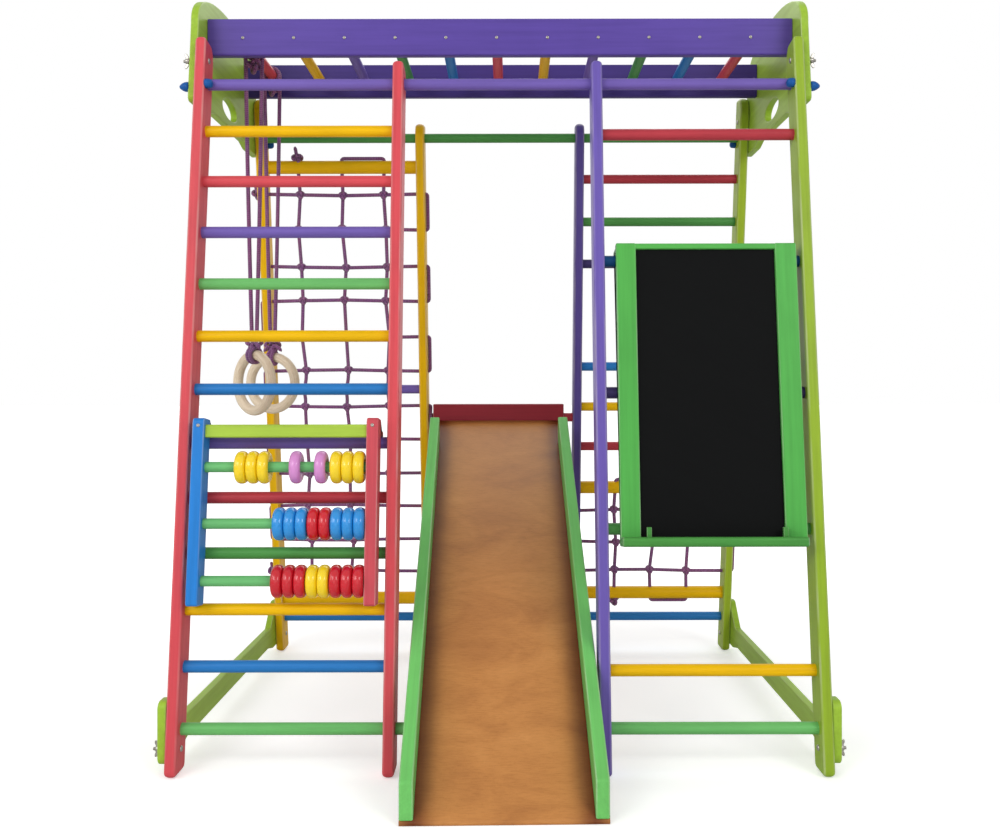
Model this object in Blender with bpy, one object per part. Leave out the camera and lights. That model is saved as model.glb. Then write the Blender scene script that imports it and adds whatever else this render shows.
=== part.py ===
# Wooden indoor gym: an A-frame of four ladders with a slide, two rope nets,
# gymnastic rings, an overhead ladder, a bead counter and a blackboard.
# Metres, +Z up. The gym's front faces -Y. X = 0 is its middle and Z = 0 is the floor.
import math

import bmesh
import bpy
from mathutils import Matrix, Vector

# Clearances
GAP = 0.0003
ROPE_HOLE_CLEARANCE = 0.0008
BEAD_CLEARANCE = 0.001
SLOT_CLEARANCE = 0.0004

# Rails: boards on edge, seen narrow from the front
RAIL_WIDTH = 0.024
RAIL_DEPTH = 0.062
RAIL_EDGE = 0.003
RAIL_CORNER = 0.016
RAIL_TOP_ROUND = 0.040
OUTER_RAIL_X = 0.6615
INNER_LEFT_X = -0.224
INNER_RIGHT_X = 0.214
BASE_DEPTH = 0.971
FRONT_LEAN = math.radians(7.75)
REAR_LEAN = math.radians(9.53)
FRONT_OUTER_LENGTH = 1.575
FRONT_INNER_LENGTH = 1.518
REAR_OUTER_LENGTH = 1.597
REAR_INNER_LENGTH = 1.531

# Rungs, placed by their distance from the floor along the rail
RUNG_RADIUS = 0.0125
RUNG_SIDES = 16
FRONT_RUNG_PITCH = 0.1152
FRONT_FIRST_RUNG = 0.0893
FRONT_TOP_BAR_AT = 1.474
LEFT_RUNG_COUNT = 11
LEFT_RUNG_LIFT = 0.0087
RIGHT_RUNG_STEPS = (1.0, 3.5, 6.0, 8.5, 11.0)
REAR_RUNG_PITCH = 0.1166
REAR_FIRST_RUNG = 0.0983
REAR_RIGHT_STEPS = (4.5, 5.5, 6.5, 9.0, 10.0, 11.0)
REAR_LEFT_RUNG_AT = 0.791
REAR_BOTTOM_RUNG_AT = 0.1034
REAR_TOP_BAR_AT = 1.492

# Rope nets, laced through the rear rails and their thick bars
NET_BAR_RADIUS = 0.018
LEFT_NET_BOTTOM_BAR_AT = 0.162
LEFT_NET_TOP_BAR_AT = 1.414
RIGHT_NET_BOTTOM_BAR_AT = 0.178
RIGHT_NET_TOP_BAR_AT = 0.500
ROPE_RADIUS = 0.005
NET_FIRST_ROW = 0.245
LEFT_NET_PITCH = 0.0997
LEFT_NET_ROWS = 12
RIGHT_NET_PITCH = 0.092
RIGHT_NET_ROWS = 3
LEFT_NET_COLUMNS = (-0.565, -0.443, -0.325)
RIGHT_NET_COLUMNS = (0.330, 0.438, 0.545)
KNOT_RADIUS = 0.0095
END_KNOT_RADIUS = 0.011
ROPE_TURN_CORNER = 0.003

# Top brackets and base boards, bolted outside the outer rails
PLATE_THICKNESS = 0.018
BRACKET_LOW = 1.421
BRACKET_SHOULDER = 1.600
BRACKET_TOP = 1.700
BRACKET_SETBACK = 0.020
BRACKET_LEG = 0.105
BRACKET_ARCH_LOW = 1.432
BRACKET_HOLE_LENGTH = 0.130
BRACKET_HOLE_HEIGHT = 0.048
BRACKET_HOLE_FLOOR = 1.452
BOARD_LOW = 0.034
BOARD_HIGH = 0.085
BOARD_END_LOW = 0.021
BOARD_END_HIGH = 0.150
BOARD_END_LENGTH = 0.080
BOARD_FLARE = 0.060
BOARD_SETBACK = 0.018

# Overhead ladder
BEAM_HEIGHT = 0.085
BEAM_THICKNESS = 0.022
BEAM_CENTRE_Z = 1.592
FRONT_BEAM_Y = 0.311
REAR_BEAM_Y = 0.641
OVERHEAD_COUNT = 11
OVERHEAD_PITCH = 0.1168
OVERHEAD_SHIFT = -0.0075

# Slide: a sheet with side boards, hung on a rung by its head board, a little askew in plan
SLIDE_X = -0.0114
SLIDE_TURN = math.radians(1.19)
SLIDE_WIDTH = 0.380
SLIDE_FOOT_Y = -0.208
SLIDE_NOSE = 0.0075
SLIDE_SHEET = 0.008
SLIDE_SIDE_THICKNESS = 0.026
SLIDE_SIDE_HEIGHT = 0.060
SLIDE_SIDE_END_Y = 0.775
SLIDE_RUNG_AT = 0.7083
HEAD_WIDTH = 0.374
HEAD_HEIGHT = 0.050
HEAD_DEPTH = 0.050
HEAD_BELOW_RUNG = 0.0115
SHEET_ABOVE_HEAD_EDGE = 0.0034

# Bead counter, hung on a rung of the left ladder
COUNTER_LEFT = -0.636
COUNTER_RIGHT = -0.2505
COUNTER_BAR_WIDTH = 0.025
COUNTER_BAR_DEPTH = 0.045
COUNTER_HOOK_STEP = 5
COUNTER_ABOVE_RUNG = 0.0486
COUNTER_BELOW_RUNG = 0.3354
COUNTER_BOARD_ABOVE_RUNG = 0.0082
COUNTER_BOARD_HEIGHT = 0.027
COUNTER_BOARD_DEPTH = 0.018
COUNTER_ROWS = 3
COUNTER_ROD_RADIUS = 0.011
COUNTER_ROD_BELOW_RUNG = 0.0528
COUNTER_ROD_PITCH = 0.1166
BEAD_RADIUS = 0.034
BEAD_THICKNESS = 0.024
BEAD_OVERLAP = 0.0006
BEAD_SIDES = 16
FAR_LEFT_BEADS_AT = 0.064
LEFT_PINK_BEAD_AT = 0.177
RIGHT_PINK_BEAD_AT = 0.1065
FAR_RIGHT_BEADS_AT = 0.0745
HOOK_THICKNESS = 0.014
HOOK_DROP = 0.016

# Blackboard, hung on a rung of the right ladder
SCREEN_LEFT = 0.250
SCREEN_RIGHT = 0.631
SCREEN_ABOVE_RUNG = 0.0326
SCREEN_BELOW_RUNG = 0.6123
SCREEN_THICKNESS = 0.020
SCREEN_STILE = 0.040
SCREEN_RAIL = 0.012
SCREEN_RAIL_STEP = 0.001
SCREEN_PANEL = 0.004
SCREEN_HOOK_STEP = 8.5
TRAY_HEIGHT = 0.020
TRAY_DEPTH = 0.034
TRAY_LIP = 0.006
PEG_WIDTH = 0.010
PEG_HEIGHT = 0.020

# Rings on ropes, looped over the first overhead rung
RING_OUTER_RADIUS = 0.079
RING_SECTION_RADIUS = 0.012
RING_CENTRE_Z = 0.797
RING_YS = (0.400, 0.585)
RING_TURNS = (math.radians(-40.8), math.radians(-20.9))
RING_ROPE_TURNS = 2
RING_KNOT_RADIUS = 0.013

# Colours: red, green, blue of the paint in linear light
RED = (0.70, 0.105, 0.125)
LIME = (0.33, 0.53, 0.030)
YELLOW = (0.87, 0.52, 0.004)
PURPLE = (0.175, 0.105, 0.48)
GREEN = (0.115, 0.47, 0.115)
DARK_GREEN = (0.045, 0.27, 0.06)
BLUE = (0.020, 0.155, 0.55)
DARK_PURPLE = (0.075, 0.045, 0.20)
PINK = (0.70, 0.32, 0.64)
BEAD_RED = (0.60, 0.006, 0.012)
BEAD_YELLOW = (0.95, 0.68, 0.010)
BEAD_BLUE = (0.030, 0.25, 0.80)
SHEET_BROWN = (0.38, 0.155, 0.048)
HEAD_RED = (0.27, 0.022, 0.035)
BOARD_BLACK = (0.012, 0.012, 0.012)
ROPE_PURPLE = (0.115, 0.033, 0.125)
BEECH = (0.78, 0.62, 0.43)


# Scene and collections
for old in list(bpy.data.objects):
    bpy.data.objects.remove(old, do_unlink=True)

gym = bpy.data.collections.new("indoor_gym")
cutters = bpy.data.collections.new("cutters")
bpy.context.scene.collection.children.link(gym)
bpy.context.scene.collection.children.link(cutters)


# Heights and depths along the leaning frames
def front_point(along, forward=0.0):
    """World (y, z) at a distance along the front rails' middle line, moved forward square to it."""
    foot = RAIL_DEPTH / 2 / math.cos(FRONT_LEAN)
    y = foot + along * math.sin(FRONT_LEAN) - forward * math.cos(FRONT_LEAN)
    z = along * math.cos(FRONT_LEAN) + forward * math.sin(FRONT_LEAN)
    return y, z


def rear_point(along, forward=0.0):
    """World (y, z) at a distance along the rear rails' middle line, moved forward square to it."""
    foot = BASE_DEPTH + RAIL_DEPTH / 2 / math.cos(REAR_LEAN)
    y = foot - along * math.sin(REAR_LEAN) - forward * math.cos(REAR_LEAN)
    z = along * math.cos(REAR_LEAN) - forward * math.sin(REAR_LEAN)
    return y, z


def front_rung_at(step):
    return FRONT_FIRST_RUNG + FRONT_RUNG_PITCH * step


def left_rung_at(step):
    return front_rung_at(step) + LEFT_RUNG_LIFT


def rear_rung_at(step):
    return REAR_FIRST_RUNG + REAR_RUNG_PITCH * step


OUTER_FACE_X = OUTER_RAIL_X + RAIL_WIDTH / 2
INNER_FACE_X = OUTER_RAIL_X - RAIL_WIDTH / 2

# Everything hangs from one empty, moved at the end to put the world's origin under the gym's middle
origin = bpy.data.objects.new("gym_origin", None)
gym.objects.link(origin)


# Materials
def paint(name, colour, roughness=0.35, metallic=0.0):
    """A Principled BSDF of one colour, made once for each name."""
    found = bpy.data.materials.get(name)
    if found:
        return found
    material = bpy.data.materials.new(name)
    material.use_nodes = True
    shader = material.node_tree.nodes["Principled BSDF"]
    shader.inputs["Base Color"].default_value = (*colour, 1.0)
    shader.inputs["Roughness"].default_value = roughness
    shader.inputs["Metallic"].default_value = metallic
    return material


RED_PAINT = paint("red_paint", RED)
LIME_PAINT = paint("lime_paint", LIME)
YELLOW_PAINT = paint("yellow_paint", YELLOW)
PURPLE_PAINT = paint("purple_paint", PURPLE)
GREEN_PAINT = paint("green_paint", GREEN)
DARK_GREEN_PAINT = paint("dark_green_paint", DARK_GREEN)
BLUE_PAINT = paint("blue_paint", BLUE)
DARK_PURPLE_PAINT = paint("dark_purple_paint", DARK_PURPLE)
PINK_GLOSS = paint("pink_gloss", PINK, 0.15)
RED_GLOSS = paint("red_gloss", BEAD_RED, 0.15)
YELLOW_GLOSS = paint("yellow_gloss", BEAD_YELLOW, 0.15)
BLUE_GLOSS = paint("blue_gloss", BEAD_BLUE, 0.15)
SHEET = paint("slide_sheet", SHEET_BROWN, 0.25)
HEAD_PAINT = paint("head_board_red", HEAD_RED)
BLACK_PAINT = paint("board_black", BOARD_BLACK, 0.6)
ROPE = paint("purple_rope", ROPE_PURPLE, 0.8)
BEECH_WOOD = paint("beech_wood", BEECH, 0.5)


# Objects and meshes
def add_part(name, mesh, material, location=(0.0, 0.0, 0.0), rotation=(0.0, 0.0, 0.0)):
    """Puts a mesh in the gym as a named sub-part, hung from the origin."""
    part = bpy.data.objects.new(name, mesh)
    gym.objects.link(part)
    part.parent = origin
    part.location = location
    part.rotation_euler = rotation
    if material and not mesh.materials:
        mesh.materials.append(material)
    return part


def mesh_of(name, fill, smooth=False):
    """A mesh made by a function that fills a bmesh."""
    work = bmesh.new()
    fill(work)
    mesh = bpy.data.meshes.new(name)
    work.to_mesh(mesh)
    work.free()
    if smooth:
        mesh.shade_smooth()
        mesh.set_sharp_from_angle(angle=math.radians(40.0))
    return mesh


def rounded(corners, steps=3):
    """Outline points from corners (y, z, radius), with an arc of the radius at each corner."""
    points = []
    count = len(corners)
    for index, (y, z, radius) in enumerate(corners):
        here = Vector((y, z))
        before = Vector(corners[index - 1][:2]) - here
        after = Vector(corners[(index + 1) % count][:2]) - here
        if radius <= 0.0:
            points.append((y, z))
            continue
        half = before.angle(after) / 2
        reach = radius / math.tan(half)
        start = here + before.normalized() * reach
        end = here + after.normalized() * reach
        centre = here + (before.normalized() + after.normalized()).normalized() * (radius / math.sin(half))
        first = math.atan2(start.y - centre.y, start.x - centre.x)
        sweep = math.atan2(end.y - centre.y, end.x - centre.x) - first
        sweep = (sweep + math.pi) % (2 * math.pi) - math.pi
        for step in range(steps + 1):
            angle = first + sweep * step / steps
            points.append((centre.x + radius * math.cos(angle), centre.y + radius * math.sin(angle)))
    return points


def curve_mesh(curve):
    """The closed mesh of a curve, its caps welded, with the curve removed."""
    guide = bpy.data.objects.new("guide", curve)
    gym.objects.link(guide)
    bpy.context.view_layer.update()
    graph = bpy.context.evaluated_depsgraph_get()
    mesh = bpy.data.meshes.new_from_object(guide.evaluated_get(graph))
    bpy.data.objects.remove(guide)
    work = bmesh.new()
    work.from_mesh(mesh)
    bmesh.ops.remove_doubles(work, verts=work.verts, dist=0.00001)
    bmesh.ops.recalc_face_normals(work, faces=work.faces)
    work.to_mesh(mesh)
    work.free()
    return mesh


def board_mesh(name, outline, thickness, edge=0.0, holes=()):
    """A flat board: its outline lies in the YZ plane and its thickness runs along X."""
    curve = bpy.data.curves.new(name, "CURVE")
    curve.dimensions = "2D"
    curve.fill_mode = "BOTH"
    curve.extrude = thickness / 2 - edge
    curve.bevel_depth = edge
    curve.bevel_resolution = 0
    curve.offset = -edge
    for loop in (outline, *holes):
        spline = curve.splines.new("POLY")
        spline.points.add(len(loop) - 1)
        for point, (y, z) in zip(spline.points, loop):
            point.co = (y, z, 0.0, 1.0)
        spline.use_cyclic_u = True
    mesh = curve_mesh(curve)
    upright = Matrix(((0.0, 0.0, 1.0), (1.0, 0.0, 0.0), (0.0, 1.0, 0.0))).to_4x4()
    mesh.transform(upright)
    return mesh


def box_mesh(name, size, centre=(0.0, 0.0, 0.0), turn=0.0):
    """A block of a size, its centre placed and then turned about X."""
    def fill(work):
        bmesh.ops.create_cube(work, size=1.0)
        bmesh.ops.scale(work, vec=size, verts=work.verts)
        bmesh.ops.rotate(work, matrix=Matrix.Rotation(turn, 3, "X"), verts=work.verts)
        bmesh.ops.translate(work, vec=centre, verts=work.verts)
    return mesh_of(name, fill)


def rod_mesh(name, radius, length, sides=RUNG_SIDES):
    """A round rod along X, centred on its own origin."""
    def fill(work):
        bmesh.ops.create_cone(
            work, cap_ends=True, segments=sides, radius1=radius, radius2=radius, depth=length,
            matrix=Matrix.Rotation(math.pi / 2, 4, "Y"),
        )
    return mesh_of(name, fill, smooth=True)


def rod_between(name, radius, left, right, point, material, sides=RUNG_SIDES):
    """A rod along X from left to right, with a gap at each end, through (y, z)."""
    mesh = rod_mesh(name, radius, right - left - 2 * GAP, sides)
    return add_part(name, mesh, material, location=((left + right) / 2, *point))


def tube_mesh(name, line, radius):
    """A rope along (point, radius factor) pairs: a POLY spline with a round bevel and filled caps."""
    curve = bpy.data.curves.new(name, "CURVE")
    curve.dimensions = "3D"
    curve.bevel_depth = radius
    curve.bevel_resolution = 1
    curve.use_fill_caps = True
    spline = curve.splines.new("POLY")
    spline.points.add(len(line) - 1)
    for place, (point, factor) in zip(spline.points, line):
        place.co = (*point, 1.0)
        place.radius = factor
    return curve_mesh(curve)


def cutter_from(name, meshes):
    """One hidden cutter made of several closed shapes that don't touch."""
    work = bmesh.new()
    for mesh in meshes:
        work.from_mesh(mesh)
    joined = bpy.data.meshes.new(name)
    work.to_mesh(joined)
    work.free()
    cutter = bpy.data.objects.new(name, joined)
    cutters.objects.link(cutter)
    cutter.parent = origin
    cutter.display_type = "WIRE"
    cutter.hide_render = True
    return cutter


def apply_boolean(part, other, operation):
    """Adds a Boolean to a part. The cutter stays in its own collection, hidden from renders."""
    change = part.modifiers.new(operation.lower(), "BOOLEAN")
    change.operation = operation
    change.solver = "EXACT"
    change.object = other
    change.material_mode = "TRANSFER"
    return change


def rod_cutter(radius, left, right, point, sides=RUNG_SIDES):
    """A rod along X, as a shape for a cutter, through (y, z)."""
    mesh = rod_mesh("hole", radius, right - left, sides)
    mesh.transform(Matrix.Translation(((left + right) / 2, *point)))
    return mesh


def across_cutter(radius, reach, x, point, lean, sides=8):
    """A short rod along a leaning rail, as a shape for a cutter, through (x, y, z)."""
    mesh = rod_mesh("hole", radius, 2 * reach, sides)
    mesh.transform(Matrix.Rotation(-math.pi / 2, 4, "Y"))
    mesh.transform(Matrix.Rotation(lean, 4, "X"))
    mesh.transform(Matrix.Translation((x, *point)))
    return mesh


# Rails, cut level at the floor, with a rounded upper rear corner
def rail_outline(length, lean, back):
    """A rail seen from the side in its own upright frame; back is +1 if its rear faces +Y."""
    half = RAIL_DEPTH / 2
    slope = math.tan(lean)
    corners = [
        (-half * back, -half * back * slope, RAIL_CORNER),
        (half * back, half * back * slope, RAIL_CORNER),
        (half * back, length, RAIL_TOP_ROUND),
        (-half * back, length, RAIL_CORNER / 2),
    ]
    if back < 0:
        corners.reverse()
    return rounded(corners)


def front_rail(name, x, length, material):
    foot_y, foot_z = front_point(0.0)
    mesh = board_mesh(name, rail_outline(length, FRONT_LEAN, 1.0), RAIL_WIDTH, RAIL_EDGE)
    return add_part(name, mesh, material, (x, foot_y, foot_z), (-FRONT_LEAN, 0.0, 0.0))


def rear_rail(name, x, length, material):
    foot_y, foot_z = rear_point(0.0)
    mesh = board_mesh(name, rail_outline(length, -REAR_LEAN, -1.0), RAIL_WIDTH, RAIL_EDGE)
    return add_part(name, mesh, material, (x, foot_y, foot_z), (REAR_LEAN, 0.0, 0.0))


front_rail("front_rail_left", -OUTER_RAIL_X, FRONT_OUTER_LENGTH, RED_PAINT)
front_rail("front_rail_right", OUTER_RAIL_X, FRONT_OUTER_LENGTH, LIME_PAINT)
front_inner_left = front_rail("front_rail_inner_left", INNER_LEFT_X, FRONT_INNER_LENGTH, RED_PAINT)
front_inner_right = front_rail("front_rail_inner_right", INNER_RIGHT_X, FRONT_INNER_LENGTH, PURPLE_PAINT)
rear_left = rear_rail("rear_rail_left", -OUTER_RAIL_X, REAR_OUTER_LENGTH, YELLOW_PAINT)
rear_inner_left = rear_rail("rear_rail_inner_left", INNER_LEFT_X, REAR_INNER_LENGTH, YELLOW_PAINT)
rear_inner_right = rear_rail("rear_ladder_right", INNER_RIGHT_X, REAR_INNER_LENGTH, PURPLE_PAINT)

# The bars that run the whole width pass through holes in the inner rails
front_bar_points = [front_point(front_rung_at(0.0)), front_point(FRONT_TOP_BAR_AT)]
rear_bar_points = [rear_point(REAR_BOTTOM_RUNG_AT), rear_point(REAR_TOP_BAR_AT)]


def bar_holes(x, points, radius):
    reach = RAIL_WIDTH
    return [rod_cutter(radius + GAP, x - reach, x + reach, point) for point in points]


left_net_points = [rear_point(NET_FIRST_ROW + LEFT_NET_PITCH * row) for row in range(LEFT_NET_ROWS)]
right_net_points = [rear_point(NET_FIRST_ROW + RIGHT_NET_PITCH * row) for row in range(RIGHT_NET_ROWS)]


def rope_holes(x, points):
    radius = ROPE_RADIUS + ROPE_HOLE_CLEARANCE
    return [rod_cutter(radius, x - RAIL_WIDTH, x + RAIL_WIDTH, point, 8) for point in points]


apply_boolean(front_inner_left, cutter_from(
    "front_inner_left_holes", bar_holes(INNER_LEFT_X, front_bar_points, RUNG_RADIUS)), "DIFFERENCE")
apply_boolean(front_inner_right, cutter_from(
    "front_inner_right_holes", bar_holes(INNER_RIGHT_X, front_bar_points, RUNG_RADIUS)), "DIFFERENCE")
apply_boolean(rear_left, cutter_from(
    "rear_left_holes", rope_holes(-OUTER_RAIL_X, left_net_points)), "DIFFERENCE")
apply_boolean(rear_inner_left, cutter_from(
    "rear_inner_left_holes",
    bar_holes(INNER_LEFT_X, rear_bar_points, RUNG_RADIUS)
    + rope_holes(INNER_LEFT_X, left_net_points)), "DIFFERENCE")

# Bars over the whole width
rod_between("front_top_bar", RUNG_RADIUS, -INNER_FACE_X, INNER_FACE_X,
            front_point(FRONT_TOP_BAR_AT), PURPLE_PAINT)
rod_between("front_bottom_rung", RUNG_RADIUS, -INNER_FACE_X, INNER_FACE_X,
            front_point(front_rung_at(0.0)), GREEN_PAINT)
rod_between("rear_top_bar", RUNG_RADIUS, -INNER_FACE_X, INNER_FACE_X,
            rear_point(REAR_TOP_BAR_AT), DARK_GREEN_PAINT)
rod_between("rear_bottom_rung", RUNG_RADIUS, -INNER_FACE_X, INNER_FACE_X,
            rear_point(REAR_BOTTOM_RUNG_AT), BLUE_PAINT)

# Left ladder's rungs, from the bottom up
LEFT_RUNG_PAINTS = (
    BLUE_PAINT, YELLOW_PAINT, DARK_GREEN_PAINT, RED_PAINT, PURPLE_PAINT, BLUE_PAINT,
    YELLOW_PAINT, GREEN_PAINT, PURPLE_PAINT, RED_PAINT, YELLOW_PAINT,
)
inner_left_face = INNER_LEFT_X - RAIL_WIDTH / 2
for number in range(LEFT_RUNG_COUNT):
    rod_between(f"left_rung_{number + 1:02d}", RUNG_RADIUS, -INNER_FACE_X, inner_left_face,
                front_point(left_rung_at(number + 1)), LEFT_RUNG_PAINTS[number])

# Right ladder's rungs, from the bottom up
RIGHT_RUNG_PAINTS = (YELLOW_PAINT, DARK_GREEN_PAINT, DARK_PURPLE_PAINT, BLUE_PAINT, RED_PAINT)
inner_right_face = INNER_RIGHT_X + RAIL_WIDTH / 2
for number, (step, rung_paint) in enumerate(zip(RIGHT_RUNG_STEPS, RIGHT_RUNG_PAINTS)):
    rod_between(f"right_rung_{number + 1}", RUNG_RADIUS, inner_right_face, INNER_FACE_X,
                front_point(front_rung_at(step)), rung_paint)

# Rear rungs left of the middle and in it
rod_between("rear_left_rung", RUNG_RADIUS, -INNER_FACE_X, inner_left_face,
            rear_point(REAR_LEFT_RUNG_AT), PURPLE_PAINT)
slide_rung_point = rear_point(SLIDE_RUNG_AT)
rod_between("slide_rung", RUNG_RADIUS, INNER_LEFT_X + RAIL_WIDTH / 2, INNER_RIGHT_X - RAIL_WIDTH / 2,
            slide_rung_point, HEAD_PAINT)


# The right rear ladder is one glued unit: both rails, six rungs and the net's two bars
def part_of_unit(name, mesh, material):
    """A piece that is glued into a unit: an operand in the cutters' collection."""
    piece = bpy.data.objects.new(name, mesh)
    cutters.objects.link(piece)
    piece.parent = origin
    piece.display_type = "WIRE"
    piece.hide_render = True
    if not mesh.materials:
        mesh.materials.append(material)
    return piece


def glued_rod(name, radius, left, right, point, material, sides=RUNG_SIDES):
    piece = part_of_unit(name, rod_mesh(name, radius, right - left, sides), material)
    piece.location = ((left + right) / 2, *point)
    return piece


glue = RAIL_WIDTH / 4
REAR_RIGHT_PAINTS = (RED_PAINT, YELLOW_PAINT, BLUE_PAINT, DARK_PURPLE_PAINT, DARK_GREEN_PAINT, RED_PAINT)
outer_rail = rear_rail("rear_rail_right", OUTER_RAIL_X, REAR_OUTER_LENGTH, LIME_PAINT)
gym.objects.unlink(outer_rail)
cutters.objects.link(outer_rail)
outer_rail.display_type = "WIRE"
outer_rail.hide_render = True
for number, (step, rung_paint) in enumerate(zip(REAR_RIGHT_STEPS, REAR_RIGHT_PAINTS)):
    rung = glued_rod(f"rear_right_rung_{number + 1}", RUNG_RADIUS, inner_right_face - glue, INNER_FACE_X + glue,
                     rear_point(rear_rung_at(step)), rung_paint)
    apply_boolean(rear_inner_right, rung, "UNION")
for name, along in (("right_net_top_bar", RIGHT_NET_TOP_BAR_AT),
                    ("right_net_bottom_bar", RIGHT_NET_BOTTOM_BAR_AT)):
    apply_boolean(rear_inner_right, glued_rod(
        name, NET_BAR_RADIUS, inner_right_face - glue, INNER_FACE_X + glue,
        rear_point(along), YELLOW_PAINT), "UNION")
apply_boolean(rear_inner_right, outer_rail, "UNION")


def column_holes(columns, along):
    radius = ROPE_RADIUS + ROPE_HOLE_CLEARANCE
    return [
        across_cutter(radius, 2 * NET_BAR_RADIUS, x, rear_point(along), REAR_LEAN) for x in columns
    ]


apply_boolean(rear_inner_right, cutter_from(
    "rear_ladder_right_holes",
    bar_holes(INNER_RIGHT_X, rear_bar_points, RUNG_RADIUS)
    + rope_holes(INNER_RIGHT_X, right_net_points)
    + rope_holes(OUTER_RAIL_X, right_net_points)
    + column_holes(RIGHT_NET_COLUMNS, RIGHT_NET_TOP_BAR_AT)
    + column_holes(RIGHT_NET_COLUMNS, RIGHT_NET_BOTTOM_BAR_AT)), "DIFFERENCE")

# The left net's thick bars
for name, along in (("net_top_bar", LEFT_NET_TOP_BAR_AT), ("net_bottom_bar", LEFT_NET_BOTTOM_BAR_AT)):
    net_bar = rod_between(name, NET_BAR_RADIUS, -INNER_FACE_X, inner_left_face,
                          rear_point(along), YELLOW_PAINT)
    apply_boolean(net_bar, cutter_from(
        f"{name}_holes", column_holes(LEFT_NET_COLUMNS, along)), "DIFFERENCE")


# Rope nets: one rope laced in rows and one in columns, knotted where they cross
def lace(runs, reach):
    """A rope's points along parallel runs (start, end), turning back past each end in a flat loop."""
    points = []
    corner = ROPE_TURN_CORNER
    for index, (start, end) in enumerate(runs):
        along = (end - start).normalized() * (1 if index % 2 == 0 else -1)
        first, last = (start, end) if index % 2 == 0 else (end, start)
        if index:
            back = (runs[index - 1][0] - start).normalized()
            points.append(first - along * reach + back * corner)
            points.append(first - along * (reach - corner))
        else:
            points.append(first - along * (reach + END_KNOT_RADIUS))
            points.append(first - along * reach)
        points.append(last + along * (reach - corner))
        if index < len(runs) - 1:
            onward = (runs[index + 1][0] - start).normalized()
            points.append(last + along * reach + onward * corner)
        else:
            points.append(last + along * reach)
            points.append(last + along * (reach + END_KNOT_RADIUS))
    return points


def knotted(points, crossings):
    """The same line with (point, radius factor) pairs: swollen at its ends and at each crossing."""
    thick = KNOT_RADIUS / ROPE_RADIUS
    end_thick = END_KNOT_RADIUS / ROPE_RADIUS
    line = [(points[0], end_thick * 0.6), (points[0].lerp(points[1], 0.5), end_thick), (points[1], 1.0)]
    for before, after in zip(points[1:], points[2:-1]):
        step = after - before
        found = []
        for crossing in crossings:
            share = (crossing - before).dot(step) / step.length_squared
            if 0.0 < share < 1.0 and (before + step * share - crossing).length < KNOT_RADIUS:
                found.append(share)
        for share in sorted(found):
            middle = before + step * share
            side = step.normalized() * KNOT_RADIUS
            line += [(middle - side, 1.0), (middle - side / 3, thick), (middle + side / 3, thick),
                     (middle + side, 1.0)]
        line.append((after, 1.0))
    line += [(points[-1].lerp(points[-2], 0.5), end_thick), (points[-1], end_thick * 0.6)]
    return line


def bowed(points, along):
    """The same line, its upright runs led past the front of a rung that crosses them."""
    bow = RUNG_RADIUS + ROPE_RADIUS + 2 * GAP
    flat_half = 0.4 * bow
    bow_half = 1.6 * bow
    rung_z = rear_point(along)[1]
    line = [points[0]]
    for before, after in zip(points, points[1:]):
        upright = abs(after.x - before.x) < GAP
        if upright and min(before.z, after.z) < rung_z < max(before.z, after.z):
            steps = [
                Vector((before.x, *rear_point(along + place, depth)))
                for place, depth in ((-bow_half, 0.0), (-flat_half, bow), (flat_half, bow), (bow_half, 0.0))
            ]
            if after.z < before.z:
                steps.reverse()
            line += steps
        line.append(after)
    return line


def rope_net(name, columns, left_x, right_x, points, starts_at, ends_at):
    """A laced net between two rails and two bars, as one body."""
    row_runs = [(Vector((left_x, *point)), Vector((right_x, *point))) for point in points]
    row_points = lace(row_runs, RAIL_WIDTH / 2 + ROPE_RADIUS + 2 * GAP)
    start = rear_point(starts_at)
    end = rear_point(ends_at)
    column_runs = [(Vector((x, *start)), Vector((x, *end))) for x in columns]
    column_points = lace(column_runs, NET_BAR_RADIUS + ROPE_RADIUS + 2 * GAP)
    row_points = bowed(row_points, SLIDE_RUNG_AT)
    column_points = bowed(column_points, REAR_LEFT_RUNG_AT)
    crossings = [Vector((x, *point)) for x in columns for point in points]
    net = add_part(name, tube_mesh(name, knotted(column_points, crossings), ROPE_RADIUS), ROPE)
    apply_boolean(net, part_of_unit(
        f"{name}_rows", tube_mesh("rows", knotted(row_points, []), ROPE_RADIUS), ROPE), "UNION")


rope_net("left_net", LEFT_NET_COLUMNS, -OUTER_RAIL_X, INNER_LEFT_X, left_net_points,
         LEFT_NET_TOP_BAR_AT, LEFT_NET_BOTTOM_BAR_AT)
rope_net("right_net", RIGHT_NET_COLUMNS, INNER_RIGHT_X, OUTER_RAIL_X, right_net_points,
         RIGHT_NET_BOTTOM_BAR_AT, RIGHT_NET_TOP_BAR_AT)


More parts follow.
